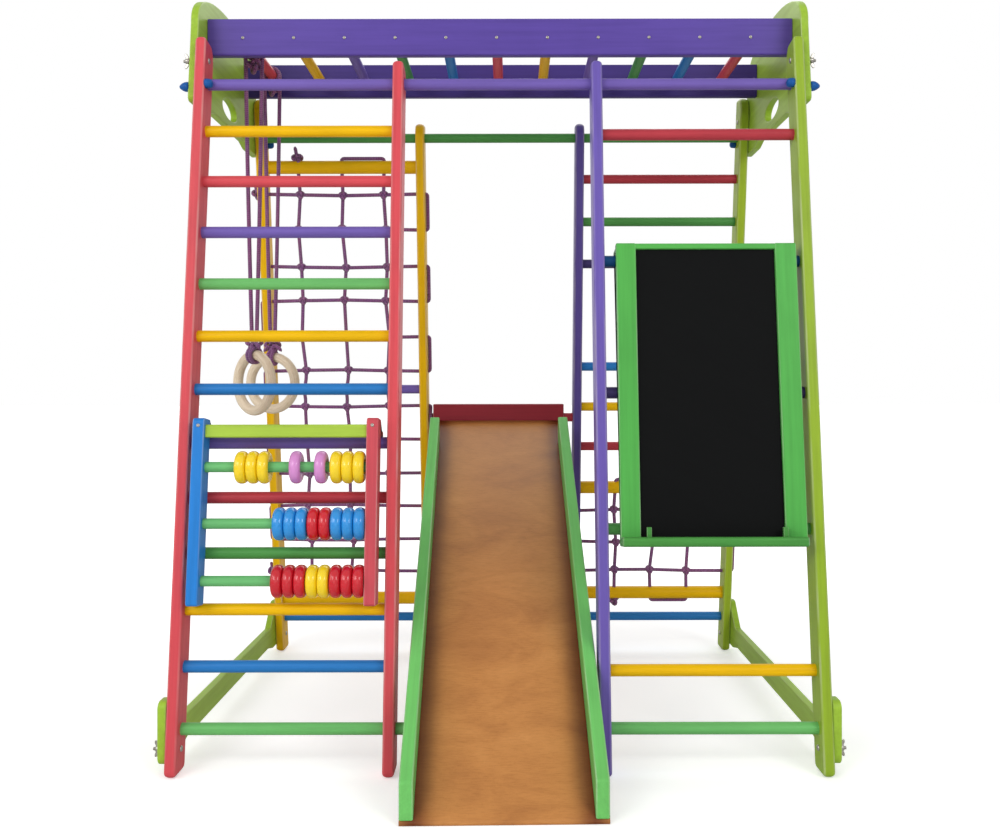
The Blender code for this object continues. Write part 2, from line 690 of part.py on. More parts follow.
# Top brackets: arched side plates with a hand hole, outside the outer rails
def bracket_outline():
    """The bracket's outline: two legs on the rails, a low arch between them, a high arch on top."""
    front_low = front_point(BRACKET_LOW / math.cos(FRONT_LEAN))[0] - RAIL_DEPTH / 2 + BRACKET_SETBACK
    front_high = front_point(BRACKET_SHOULDER / math.cos(FRONT_LEAN))[0] - RAIL_DEPTH / 2 + BRACKET_SETBACK
    rear_low = rear_point(BRACKET_LOW / math.cos(REAR_LEAN))[0] + RAIL_DEPTH / 2 - BRACKET_SETBACK
    rear_high = rear_point(BRACKET_SHOULDER / math.cos(REAR_LEAN))[0] + RAIL_DEPTH / 2 - BRACKET_SETBACK
    points = rounded([
        (front_high, BRACKET_SHOULDER, 0.0),
        (front_low, BRACKET_LOW, 0.010),
        (front_low + BRACKET_LEG, BRACKET_LOW, 0.020),
        (front_low + 1.4 * BRACKET_LEG, BRACKET_ARCH_LOW, 0.020),
        (rear_low - 1.4 * BRACKET_LEG, BRACKET_ARCH_LOW, 0.020),
        (rear_low - BRACKET_LEG, BRACKET_LOW, 0.020),
        (rear_low, BRACKET_LOW, 0.010),
        (rear_high, BRACKET_SHOULDER, 0.0),
    ], 2)
    middle = (front_high + rear_high) / 2
    half = (rear_high - front_high) / 2
    steps = 16
    for step in range(1, steps):
        angle = math.pi * step / steps
        points.append((middle + half * math.cos(angle),
                       BRACKET_SHOULDER + (BRACKET_TOP - BRACKET_SHOULDER) * math.sin(angle) ** 0.75))
    return points, middle


def oval(centre_y, centre_z, length, height, steps=16):
    """A hand hole's outline: an ellipse, wound against the board's outline."""
    return [
        (centre_y + length / 2 * math.cos(-2 * math.pi * step / steps),
         centre_z + height / 2 * math.sin(-2 * math.pi * step / steps))
        for step in range(steps)
    ]


outline, bracket_middle = bracket_outline()
hole = oval(bracket_middle, BRACKET_HOLE_FLOOR + BRACKET_HOLE_HEIGHT / 2,
            BRACKET_HOLE_LENGTH, BRACKET_HOLE_HEIGHT)
plate_x = OUTER_FACE_X + GAP + PLATE_THICKNESS / 2
for name, side in (("top_bracket_left", -1.0), ("top_bracket_right", 1.0)):
    add_part(name, board_mesh(name, outline, PLATE_THICKNESS, RAIL_EDGE, (hole,)), LIME_PAINT,
             (side * plate_x, 0.0, 0.0))


# Base boards: low side boards with tall ends, outside the outer rails
def base_board_outline():
    front = front_point(0.0)[0] - RAIL_DEPTH / 2 + BOARD_SETBACK
    rear = rear_point(0.0)[0] + RAIL_DEPTH / 2 - BOARD_SETBACK
    corner = RAIL_CORNER
    return rounded([
        (front, BOARD_END_LOW, corner),
        (front + BOARD_END_LENGTH, BOARD_END_LOW, corner),
        (front + BOARD_END_LENGTH + BOARD_FLARE, BOARD_LOW, corner),
        (rear - BOARD_END_LENGTH - BOARD_FLARE, BOARD_LOW, corner),
        (rear - BOARD_END_LENGTH, BOARD_END_LOW, corner),
        (rear, BOARD_END_LOW, corner),
        (rear, BOARD_END_HIGH, corner),
        (rear - BOARD_END_LENGTH / 2, BOARD_END_HIGH, corner),
        (rear - BOARD_END_LENGTH - BOARD_FLARE / 2, BOARD_HIGH, corner),
        (front + BOARD_END_LENGTH + BOARD_FLARE / 2, BOARD_HIGH, corner),
        (front + BOARD_END_LENGTH / 2, BOARD_END_HIGH, corner),
        (front, BOARD_END_HIGH, corner),
    ], 2)


for name, side in (("base_board_left", -1.0), ("base_board_right", 1.0)):
    add_part(name, board_mesh(name, base_board_outline(), PLATE_THICKNESS, RAIL_EDGE), LIME_PAINT,
             (side * plate_x, 0.0, 0.0))


# Overhead ladder: one screwed unit of two beams and eleven rungs
OVERHEAD_PAINTS = (
    RED_PAINT, YELLOW_PAINT, DARK_PURPLE_PAINT, DARK_GREEN_PAINT, BLUE_PAINT, RED_PAINT,
    YELLOW_PAINT, PURPLE_PAINT, DARK_GREEN_PAINT, BLUE_PAINT, RED_PAINT,
)
beam_length = 2 * OUTER_FACE_X - 2 * GAP
overhead = add_part(
    "overhead_ladder", box_mesh("front_beam", (beam_length, BEAM_THICKNESS, BEAM_HEIGHT)), PURPLE_PAINT,
    (0.0, FRONT_BEAM_Y, BEAM_CENTRE_Z))
beam_glue = BEAM_THICKNESS / 4
rung_from = FRONT_BEAM_Y + BEAM_THICKNESS / 2 - beam_glue
rung_to = REAR_BEAM_Y - BEAM_THICKNESS / 2 + beam_glue


def overhead_rung_x(number):
    return OVERHEAD_SHIFT + OVERHEAD_PITCH * (number - (OVERHEAD_COUNT - 1) / 2)


for number in range(OVERHEAD_COUNT):
    mesh = rod_mesh(f"overhead_rung_{number + 1}", RUNG_RADIUS, rung_to - rung_from)
    mesh.transform(Matrix.Rotation(math.pi / 2, 4, "Z"))
    rung = part_of_unit(f"overhead_rung_{number + 1}", mesh, OVERHEAD_PAINTS[number])
    rung.location = (overhead_rung_x(number), (rung_from + rung_to) / 2, BEAM_CENTRE_Z)
    apply_boolean(overhead, rung, "UNION")
rear_beam = part_of_unit("rear_beam", box_mesh(
    "rear_beam", (beam_length, BEAM_THICKNESS, BEAM_HEIGHT)), PURPLE_PAINT)
rear_beam.location = (0.0, REAR_BEAM_Y, BEAM_CENTRE_Z)
apply_boolean(overhead, rear_beam, "UNION")


# Slide, built around the rung that it hangs on, which is also its hinge
slide_hinge = bpy.data.objects.new("slide_hinge", None)
gym.objects.link(slide_hinge)
slide_hinge.parent = origin
slide_hinge.location = (SLIDE_X, *slide_rung_point)
slide_hinge.rotation_euler = (0.0, 0.0, SLIDE_TURN)
HEAD_FRONT_Y = slide_rung_point[0] - HEAD_DEPTH / 2
HEAD_LOW_Z = slide_rung_point[1] - HEAD_BELOW_RUNG
sheet_end_y = HEAD_FRONT_Y - GAP
slope = (HEAD_LOW_Z + SHEET_ABOVE_HEAD_EDGE - SLIDE_NOSE) / (sheet_end_y - SLIDE_FOOT_Y)
slide_angle = math.atan(slope)


def add_slide_part(name, mesh, material, x):
    """A piece of the slide, hung from the hinge: its mesh keeps the gym's own y and z."""
    mesh.transform(Matrix.Translation((0.0, -slide_rung_point[0], -slide_rung_point[1])))
    part = add_part(name, mesh, material, (x, 0.0, 0.0))
    part.parent = slide_hinge
    return part


def sheet_top(y):
    return SLIDE_NOSE + (y - SLIDE_FOOT_Y) * slope


drop = SLIDE_SHEET / math.cos(slide_angle)
side_rise = SLIDE_SIDE_HEIGHT / math.cos(slide_angle)
seat = GAP / math.cos(slide_angle)
sheet_outline = [
    (SLIDE_FOOT_Y, 0.0),
    (SLIDE_FOOT_Y + (drop - SLIDE_NOSE) / slope, 0.0),
    (sheet_end_y, sheet_top(sheet_end_y) - drop),
    (sheet_end_y, sheet_top(sheet_end_y)),
    (SLIDE_FOOT_Y, SLIDE_NOSE),
]
side_outline = [
    (SLIDE_FOOT_Y, SLIDE_NOSE + seat),
    (SLIDE_SIDE_END_Y, sheet_top(SLIDE_SIDE_END_Y) + seat),
    (SLIDE_SIDE_END_Y, sheet_top(SLIDE_SIDE_END_Y) + side_rise),
    (SLIDE_FOOT_Y, sheet_top(SLIDE_FOOT_Y) + side_rise),
]
slide_sheet = add_slide_part(
    "slide_sheet", board_mesh("slide_sheet", sheet_outline, SLIDE_WIDTH), SHEET, 0.0)
side_x = (SLIDE_WIDTH - SLIDE_SIDE_THICKNESS) / 2
for name, side in (("slide_side_left", -1.0), ("slide_side_right", 1.0)):
    add_slide_part(name, board_mesh(name, side_outline, SLIDE_SIDE_THICKNESS, 0.002), GREEN_PAINT,
                   side * side_x)

# The head board's groove sits over the rung, wide enough for the slide's turn in plan
rung_y, rung_z = slide_rung_point
groove_half = (RUNG_RADIUS + HEAD_WIDTH / 2 * math.sin(SLIDE_TURN)) / math.cos(SLIDE_TURN) + SLOT_CLEARANCE
groove_top = rung_z + RUNG_RADIUS + SLOT_CLEARANCE
head_outline = [
    (HEAD_FRONT_Y, HEAD_LOW_Z),
    (rung_y - groove_half, HEAD_LOW_Z),
    (rung_y - groove_half, groove_top),
    (rung_y + groove_half, groove_top),
    (rung_y + groove_half, HEAD_LOW_Z),
    (HEAD_FRONT_Y + HEAD_DEPTH, HEAD_LOW_Z),
    (HEAD_FRONT_Y + HEAD_DEPTH, HEAD_LOW_Z + HEAD_HEIGHT),
    (HEAD_FRONT_Y, HEAD_LOW_Z + HEAD_HEIGHT),
]
add_slide_part("slide_head_board", board_mesh("slide_head_board", head_outline, HEAD_WIDTH), HEAD_PAINT, 0.0)


# A board that hangs in front of the front ladders: its profile in the rails' own upright frame
def hung_profile(low, high, thickness, hook_at):
    """The side view of a bar with a hook over a rung. Forward is -Y and the rung's centre is Y = 0."""
    rear = -RUNG_RADIUS - GAP
    over = hook_at + RUNG_RADIUS + GAP
    back = RUNG_RADIUS + GAP
    return [
        (rear - thickness, low),
        (rear, low),
        (rear, over),
        (back, over),
        (back, over - HOOK_DROP),
        (back + HOOK_THICKNESS, over - HOOK_DROP),
        (back + HOOK_THICKNESS, over + HOOK_THICKNESS),
        (rear, over + HOOK_THICKNESS),
        (rear, high),
        (rear - thickness, high),
    ]


def in_front_frame(mesh):
    """Leans a mesh that was drawn upright over the front rails' foot."""
    mesh.transform(Matrix.Rotation(-FRONT_LEAN, 4, "X"))
    foot_y, foot_z = front_point(0.0)
    mesh.transform(Matrix.Translation((0.0, foot_y, foot_z)))
    return mesh


# Bead counter: two bars, a top board and three rods, glued as one frame
counter_hook_at = left_rung_at(COUNTER_HOOK_STEP)
counter_profile = hung_profile(counter_hook_at - COUNTER_BELOW_RUNG, counter_hook_at + COUNTER_ABOVE_RUNG,
                               COUNTER_BAR_DEPTH, counter_hook_at)
counter_left_inner = COUNTER_LEFT + COUNTER_BAR_WIDTH
counter_right_inner = COUNTER_RIGHT - COUNTER_BAR_WIDTH
counter_depth = -RUNG_RADIUS - GAP - COUNTER_BAR_DEPTH / 2


def counter_bar(name, x):
    mesh = board_mesh(name, counter_profile, COUNTER_BAR_WIDTH)
    mesh.transform(Matrix.Translation((x, 0.0, 0.0)))
    return in_front_frame(mesh)


counter = add_part("counter_frame", counter_bar("counter_bar_left", COUNTER_LEFT + COUNTER_BAR_WIDTH / 2),
                   BLUE_PAINT)
counter_span = counter_right_inner - counter_left_inner
counter_glue = COUNTER_BAR_WIDTH / 4
counter_middle = (counter_left_inner + counter_right_inner) / 2
board_z = counter_hook_at + COUNTER_BOARD_ABOVE_RUNG + COUNTER_BOARD_HEIGHT / 2
board_y = counter_depth - COUNTER_BAR_DEPTH / 2 + COUNTER_BOARD_DEPTH
top_board = part_of_unit("counter_top_board", in_front_frame(box_mesh(
    "counter_top_board",
    (counter_span + 2 * counter_glue, COUNTER_BOARD_DEPTH, COUNTER_BOARD_HEIGHT),
    (counter_middle, board_y, board_z))), LIME_PAINT)
apply_boolean(counter, top_board, "UNION")
first_rod_at = counter_hook_at - COUNTER_ROD_BELOW_RUNG
rod_alongs = [first_rod_at - COUNTER_ROD_PITCH * row for row in range(COUNTER_ROWS)]
for row, along in enumerate(rod_alongs):
    mesh = rod_mesh("rod", COUNTER_ROD_RADIUS, counter_span + 2 * counter_glue)
    mesh.transform(Matrix.Translation((counter_middle, counter_depth, along)))
    apply_boolean(counter, part_of_unit(
        f"counter_rod_{row + 1}", in_front_frame(mesh), GREEN_PAINT), "UNION")
apply_boolean(counter, part_of_unit(
    "counter_bar_right", counter_bar("counter_bar_right", COUNTER_RIGHT - COUNTER_BAR_WIDTH / 2),
    RED_PAINT), "UNION")

# Beads: rounded rings that slide on the rods, a group of one colour to a node
bead_hole = COUNTER_ROD_RADIUS + BEAD_CLEARANCE
bead_section = (BEAD_RADIUS - bead_hole) / 2
bead_step = BEAD_THICKNESS - BEAD_OVERLAP


def bead_group_mesh(name, count):
    """A closed profile of joined rounded beads, turned about X with a Screw modifier's own rule."""
    centre_radius = bead_hole + bead_section
    half = BEAD_THICKNESS / 2
    outside = []
    steps = 5
    for index in range(count):
        middle = index * bead_step
        for step in range(steps + 1):
            angle = math.pi * step / steps
            x = middle - half * math.cos(angle)
            radius = centre_radius + bead_section * math.sin(angle) ** 0.8
            low = middle - bead_step / 2 if index else middle - half
            high = middle + bead_step / 2 if index < count - 1 else middle + half
            if low - 1e-9 <= x <= high + 1e-9:
                outside.append((x, radius))
    length = (count - 1) * bead_step
    inside = [(length + half * 0.7, bead_hole), (-half * 0.7, bead_hole)]
    profile = outside + inside

    def fill(work):
        ring = [work.verts.new((x, 0.0, radius)) for x, radius in profile]
        edges = [work.edges.new((ring[i], ring[(i + 1) % len(ring)])) for i in range(len(ring))]
        bmesh.ops.spin(work, geom=ring + edges, cent=(0.0, 0.0, 0.0), axis=(1.0, 0.0, 0.0),
                       angle=2 * math.pi, steps=BEAD_SIDES, use_merge=True)
        bmesh.ops.remove_doubles(work, verts=work.verts, dist=0.00001)
        bmesh.ops.recalc_face_normals(work, faces=work.faces)
    return mesh_of(name, fill, smooth=True)


def bead_group(name, along, left, count, material):
    """A group of beads, its left side at X = left, hanging on the rod at a distance along the rails."""
    hang = BEAD_CLEARANCE - GAP
    foot_y, foot_z = front_point(0.0)
    y = foot_y + along * math.sin(FRONT_LEAN) + counter_depth * math.cos(FRONT_LEAN)
    z = foot_z + along * math.cos(FRONT_LEAN) - counter_depth * math.sin(FRONT_LEAN)
    mesh = bead_group_mesh(name, count)
    return add_part(name, mesh, material, (left + BEAD_THICKNESS / 2, y, z - hang))


def group_length(count):
    return BEAD_THICKNESS + (count - 1) * bead_step


# The top row's beads stand apart, placed from the nearer bar; the others are pushed to the right
SPREAD_BEADS = (
    ("beads_1_yellow_left", counter_left_inner + FAR_LEFT_BEADS_AT, 3, YELLOW_GLOSS),
    ("bead_1_pink_left", counter_left_inner + LEFT_PINK_BEAD_AT, 1, PINK_GLOSS),
    ("bead_1_pink_right", counter_right_inner - RIGHT_PINK_BEAD_AT, 1, PINK_GLOSS),
    ("beads_1_yellow_right", counter_right_inner - FAR_RIGHT_BEADS_AT, 3, YELLOW_GLOSS),
)
for name, left, count, gloss in SPREAD_BEADS:
    bead_group(name, rod_alongs[0], left, count, gloss)
PACKED_ROWS = (
    (("beads_2_blue_right", 3, BLUE_GLOSS), ("beads_2_red", 2, RED_GLOSS),
     ("beads_2_blue_left", 3, BLUE_GLOSS)),
    (("beads_3_red_right", 3, RED_GLOSS), ("beads_3_yellow", 2, YELLOW_GLOSS),
     ("beads_3_red_left", 3, RED_GLOSS)),
)
for along, groups in zip(rod_alongs[1:], PACKED_ROWS):
    right = counter_right_inner - GAP
    for name, count, gloss in groups:
        left = right - group_length(count)
        bead_group(name, along, left, count, gloss)
        right = left - GAP

# Blackboard: a framed panel with a tray under it, hung on a rung
screen_hook_at = front_rung_at(SCREEN_HOOK_STEP)
screen_low = screen_hook_at - SCREEN_BELOW_RUNG
screen_high = screen_hook_at + SCREEN_ABOVE_RUNG
screen_profile = hung_profile(screen_low, screen_high, SCREEN_THICKNESS, screen_hook_at)
screen_front = -RUNG_RADIUS - GAP - SCREEN_THICKNESS
screen_width = SCREEN_RIGHT - SCREEN_LEFT
screen_middle = (SCREEN_LEFT + SCREEN_RIGHT) / 2


def screen_stile(name, x):
    mesh = board_mesh(name, screen_profile, SCREEN_STILE)
    mesh.transform(Matrix.Translation((x, 0.0, 0.0)))
    return in_front_frame(mesh)


screen = add_part("blackboard_frame", screen_stile("screen_stile_left", SCREEN_LEFT + SCREEN_STILE / 2),
                  GREEN_PAINT)
stile_glue = SCREEN_STILE / 4
clear_width = screen_width - 2 * SCREEN_STILE
screen_centre_y = screen_front + SCREEN_THICKNESS / 2
rail_size = (clear_width + 2 * stile_glue, SCREEN_THICKNESS - 2 * SCREEN_RAIL_STEP, SCREEN_RAIL)
for name, z in (("screen_top_rail", screen_high - SCREEN_RAIL_STEP - SCREEN_RAIL / 2),
                ("screen_bottom_rail", screen_low + SCREEN_RAIL_STEP + SCREEN_RAIL / 2)):
    apply_boolean(screen, part_of_unit(name, in_front_frame(box_mesh(
        name, rail_size, (screen_middle, screen_centre_y, z))), GREEN_PAINT), "UNION")
apply_boolean(screen, part_of_unit("screen_stile_right", screen_stile(
    "screen_stile_right", SCREEN_RIGHT - SCREEN_STILE / 2), GREEN_PAINT), "UNION")
panel_low = screen_low + SCREEN_RAIL_STEP + SCREEN_RAIL + GAP
panel_high = screen_high - SCREEN_RAIL_STEP - SCREEN_RAIL - GAP
add_part("blackboard_panel", in_front_frame(box_mesh(
    "blackboard_panel", (clear_width - 2 * GAP, SCREEN_PANEL, panel_high - panel_low),
    (screen_middle, screen_centre_y, (panel_low + panel_high) / 2))), BLACK_PAINT)

# The tray: a ledge with a rounded nose and a pair of small pegs at its back
tray_outline = rounded([
    (screen_front - GAP - TRAY_DEPTH, screen_low, TRAY_LIP),
    (screen_front - GAP, screen_low, 0.0),
    (screen_front - GAP, screen_low + TRAY_HEIGHT, 0.0),
    (screen_front - GAP - TRAY_DEPTH, screen_low + TRAY_HEIGHT, TRAY_LIP),
])
tray_mesh = board_mesh("blackboard_tray", tray_outline, screen_width)
tray_mesh.transform(Matrix.Translation((screen_middle, 0.0, 0.0)))
tray = add_part("blackboard_tray", in_front_frame(tray_mesh), GREEN_PAINT)
peg_x = clear_width / 2 - 1.5 * PEG_WIDTH
for name, side in (("tray_peg_left", -1.0), ("tray_peg_right", 1.0)):
    apply_boolean(tray, part_of_unit(name, in_front_frame(box_mesh(
        name, (PEG_WIDTH, PEG_WIDTH, PEG_HEIGHT + TRAY_LIP),
        (screen_middle + side * peg_x, screen_front - GAP - PEG_WIDTH,
         screen_low + TRAY_HEIGHT + (PEG_HEIGHT - TRAY_LIP) / 2))), GREEN_PAINT), "UNION")

# Rings and their ropes, each pair swinging about the first overhead rung
RING_RADIUS = RING_OUTER_RADIUS - RING_SECTION_RADIUS
ring_hang = BEAM_CENTRE_Z - RING_CENTRE_Z


def ring_mesh(name, turn):
    """A beech ring standing upright, turned about Z, its centre below the rope's rung."""
    def fill(work):
        section = 8
        circle = [
            work.verts.new((RING_RADIUS + RING_SECTION_RADIUS * math.cos(2 * math.pi * s / section), 0.0,
                            RING_SECTION_RADIUS * math.sin(2 * math.pi * s / section)))
            for s in range(section)
        ]
        edges = [work.edges.new((circle[i], circle[(i + 1) % section])) for i in range(section)]
        bmesh.ops.spin(work, geom=circle + edges, cent=(0.0, 0.0, 0.0), axis=(0.0, 0.0, 1.0),
                       angle=2 * math.pi, steps=28, use_merge=True)
        bmesh.ops.remove_doubles(work, verts=work.verts, dist=0.00001)
        bmesh.ops.recalc_face_normals(work, faces=work.faces)
        bmesh.ops.rotate(work, matrix=Matrix.Rotation(math.pi / 2, 3, "X"), verts=work.verts)
        bmesh.ops.rotate(work, matrix=Matrix.Rotation(turn, 3, "Z"), verts=work.verts)
        bmesh.ops.translate(work, vec=(0.0, 0.0, -ring_hang), verts=work.verts)
    return mesh_of(name, fill, smooth=True)


def ring_rope_lines(turn):
    """Two routes: strand, turns round the rung and strand; and the loop round the ring's limb."""
    turn_steps = 12
    loop_steps = 10
    wrap = (RUNG_RADIUS + ROPE_RADIUS) / math.cos(math.pi / turn_steps) + GAP
    limb_drop = (2 * ROPE_RADIUS) ** 2 / (2 * RING_RADIUS)
    limb = (RING_SECTION_RADIUS + ROPE_RADIUS) / math.cos(math.pi / loop_steps) + limb_drop + GAP
    pitch = 2 * (ROPE_RADIUS + GAP)
    limb_centre = Vector((0.0, 0.0, RING_RADIUS - ring_hang))
    knot = limb_centre + Vector((0.0, 0.0, RING_SECTION_RADIUS + RING_KNOT_RADIUS + GAP))
    along = Vector((math.cos(turn), math.sin(turn), 0.0))
    across = Vector((-math.sin(turn), math.cos(turn), 0.0))
    up = Vector((0.0, 0.0, 1.0))

    # Round the rung: half a turn more than the whole ones, so both strands leave downwards
    half_turns = 2 * RING_ROPE_TURNS - 1
    steps = half_turns * turn_steps // 2
    helix = []
    for step in range(steps + 1):
        angle = math.pi - 2 * math.pi * step / turn_steps
        drift = pitch * (step / turn_steps - half_turns / 4)
        helix.append(Vector((wrap * math.cos(angle), drift, wrap * math.sin(angle))))
    side = Vector((ROPE_RADIUS + GAP, 0.0, 0.0))
    strand_steps = 4
    left = [(knot - side).lerp(helix[0], share / strand_steps) for share in range(strand_steps)]
    right = [helix[-1].lerp(knot + side, share / strand_steps) for share in range(1, strand_steps + 1)]

    # Round the limb: once, both ends inside the knot
    loop = []
    for step in range(loop_steps + 1):
        angle = math.radians(90.0 + 360.0 * step / loop_steps)
        drift = pitch * (step / loop_steps - 0.5)
        loop.append(limb_centre + along * drift + across * (limb * math.cos(angle)) + up * (limb * math.sin(angle)))
    return knot, left + helix + right, loop


for name, y, turn in (("front", RING_YS[0], RING_TURNS[0]), ("rear", RING_YS[1], RING_TURNS[1])):
    pivot = bpy.data.objects.new(f"ring_{name}_pivot", None)
    gym.objects.link(pivot)
    pivot.parent = origin
    pivot.location = (overhead_rung_x(0), y, BEAM_CENTRE_Z)
    ring = add_part(f"ring_{name}", ring_mesh(f"ring_{name}", turn), BEECH_WOOD)
    ring.parent = pivot
    knot, strands, limb_loop = ring_rope_lines(turn)
    rope = add_part(f"ring_rope_{name}", tube_mesh("strands", [(p, 1.0) for p in strands], ROPE_RADIUS), ROPE)
    rope.parent = pivot
    loop = part_of_unit(f"ring_rope_{name}_loop",
                        tube_mesh("loop", [(p, 1.0) for p in limb_loop], ROPE_RADIUS), ROPE)
    loop.parent = pivot

    def knot_ball(work):
        bmesh.ops.create_uvsphere(work, u_segments=8, v_segments=6, radius=RING_KNOT_RADIUS,
                                  matrix=Matrix.Translation(knot))
    knot_part = part_of_unit(f"ring_rope_{name}_knot", mesh_of("knot", knot_ball), ROPE)
    knot_part.parent = pivot
    apply_boolean(rope, knot_part, "UNION")
    apply_boolean(rope, loop, "UNION")

# The slide's foot and the rear rails' feet are the two ends of the gym
bpy.context.view_layer.update()
front_end = min((slide_sheet.matrix_world @ vertex.co).y for vertex in slide_sheet.data.vertices)
rear_end = max((rear_left.matrix_world @ vertex.co).y for vertex in rear_left.data.vertices)
origin.location.y = -(front_end + rear_end) / 2
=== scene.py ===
import math

import bmesh
import bpy
import numpy as np
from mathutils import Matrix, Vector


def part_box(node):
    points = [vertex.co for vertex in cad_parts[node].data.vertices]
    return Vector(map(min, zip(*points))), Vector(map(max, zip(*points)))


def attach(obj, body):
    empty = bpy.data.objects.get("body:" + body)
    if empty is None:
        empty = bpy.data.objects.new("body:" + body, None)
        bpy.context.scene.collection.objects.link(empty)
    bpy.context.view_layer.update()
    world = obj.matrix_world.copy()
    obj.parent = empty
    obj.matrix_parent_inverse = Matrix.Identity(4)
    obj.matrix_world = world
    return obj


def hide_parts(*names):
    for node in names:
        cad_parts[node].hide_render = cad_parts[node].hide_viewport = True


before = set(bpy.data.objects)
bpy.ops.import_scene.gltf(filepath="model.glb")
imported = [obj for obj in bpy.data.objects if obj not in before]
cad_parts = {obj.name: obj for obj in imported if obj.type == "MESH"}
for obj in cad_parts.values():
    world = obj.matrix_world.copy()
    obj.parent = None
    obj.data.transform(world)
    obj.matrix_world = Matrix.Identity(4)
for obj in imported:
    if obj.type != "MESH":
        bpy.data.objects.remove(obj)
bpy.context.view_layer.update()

# The view: level, from the front, as far from the gym as its own height and a little more.
# The lens is as long as its sensor is wide, and the shift keeps upright lines upright.
camera_data = bpy.data.cameras.new("front_view")
camera_data.lens = 36.0
camera_data.sensor_width = 36.0
camera_data.shift_x = -0.010
camera_data.shift_y = -0.0295
camera = bpy.data.objects.new("front_view", camera_data)
camera.location = (0.022, -2.4095, 0.786)
camera.rotation_euler = (math.pi / 2, 0.0014, 0.0)
bpy.context.collection.objects.link(camera)
bpy.context.scene.camera = camera

# The room: a pale matt floor that keeps the gym's shadow, white air all round it, two large soft
# lamps high in front, and weaker ones low in front, at the left and over the back.
WHITE = (1.0, 1.0, 1.0, 1.0)
AIR_LIGHT = 0.42
FLOOR_TONE = (0.90, 0.90, 0.90, 1.0)
FLOOR_REACH = 40.0
FLOOR_DROP = 0.0005
FLOOR_FADE = (0.7, 2.6)
FLOOR_LIFT = (0.42, 0.80)
PLACE = ("place", "TexCoord", {})
SEEN = ("seen", "LightPath", {})


def grown(tree, rows, **known):
    """Nodes grown in a tree from rows (name, kind, settings), each row after those that feed it. A
    setting in small letters is the node's own. Any other is a socket's name or number, with its value
    or the "row.Output" that feeds it."""
    for name, kind, settings in rows:
        node = known.get(name) or tree.nodes.new("ShaderNode" + kind)
        known[name] = node
        for key, value in settings.items():
            if str(key).islower():
                setattr(node, key, value)
            elif isinstance(value, str):
                source, output = value.split(".")
                tree.links.new(known[source].outputs[output], node.inputs[key])
            else:
                node.inputs[key].default_value = value


def spread(name, fed_by, span=(0.0, 1.0), to=(0.0, 1.0), **own):
    """The row of a node that carries one span of values over to another."""
    return name, "MapRange", {**own, "Value": fed_by, "From Min": span[0], "From Max": span[1],
                              "To Min": to[0], "To Max": to[1]}


def worked(name, operation, *fed_by):
    """The row of a node that works out one value from others."""
    return name, "Math", {"operation": operation, **dict(enumerate(fed_by))}


def new_finish(name, rows):
    """A material whose nodes are grown from rows; the row called shader sets its Principled shader."""
    finish = bpy.data.materials.new(name)
    finish.use_nodes = True
    grown(finish.node_tree, rows, shader=finish.node_tree.nodes["Principled BSDF"])
    return finish


world = bpy.data.worlds.new("white_room")
world.use_nodes = True
bpy.context.scene.world = world
grown(world.node_tree, (
    SEEN,
    worked("either", "MAXIMUM", "seen.Is Camera Ray", "seen.Is Glossy Ray"),
    spread("brightness", "either.Value", to=(AIR_LIGHT, 1.0)),
    ("air", None, {"Color": WHITE, "Strength": "brightness.Result"})),
    air=world.node_tree.nodes["Background"])

floor_mesh = bpy.data.meshes.new("floor")
floor_mesh.from_pydata([(x * FLOOR_REACH, y * FLOOR_REACH, -FLOOR_DROP)
                        for x, y in ((-1, -1), (1, -1), (1, 1), (-1, 1))], [], [(0, 1, 2, 3)])
floor_mesh.materials.append(new_finish("pale_floor", (
    PLACE, SEEN,
    ("way", "VectorMath", {"operation": "LENGTH", 0: "place.Object"}),
    spread("fade", "way.Value", FLOOR_FADE, FLOOR_LIFT, interpolation_type="SMOOTHSTEP"),
    worked("lift", "MULTIPLY", "seen.Is Camera Ray", "fade.Result"),
    ("shader", None, {"Base Color": FLOOR_TONE, "Roughness": 0.9, "Specular IOR Level": 0.1,
                      "Emission Color": WHITE, "Emission Strength": "lift.Value"}))))
floor = bpy.data.objects.new("floor", floor_mesh)
bpy.context.collection.objects.link(floor)


def soft_lamp(name, place, aim, width, watts):
    """A square area lamp of a width, pointed from its place to its aim."""
    data = bpy.data.lights.new(name, "AREA")
    data.shape = "SQUARE"
    data.size = width
    data.energy = watts
    lamp = bpy.data.objects.new(name, data)
    lamp.location = place
    way = np.array(aim) - np.array(place)
    flat = math.hypot(way[0], way[1])
    lamp.rotation_euler = (math.atan2(flat, -way[2]), 0.0, math.atan2(-way[0], way[1]))
    bpy.context.collection.objects.link(lamp)


soft_lamp("front_lamp_left", (-2.3, -3.7, 2.7), (0.0, 0.0, 0.8), 1.7, 54.0)
soft_lamp("front_lamp_right", (2.5, -3.7, 2.7), (0.0, 0.0, 0.8), 1.7, 60.0)
soft_lamp("low_lamp", (-0.4, -4.4, 1.1), (0.0, 0.3, 0.9), 2.4, 12.0)
soft_lamp("left_lamp", (-3.6, -1.8, 2.2), (0.0, 0.0, 0.9), 2.0, 26.0)
soft_lamp("back_lamp", (0.4, 2.4, 3.6), (0.0, 0.2, 0.6), 2.2, 30.0)

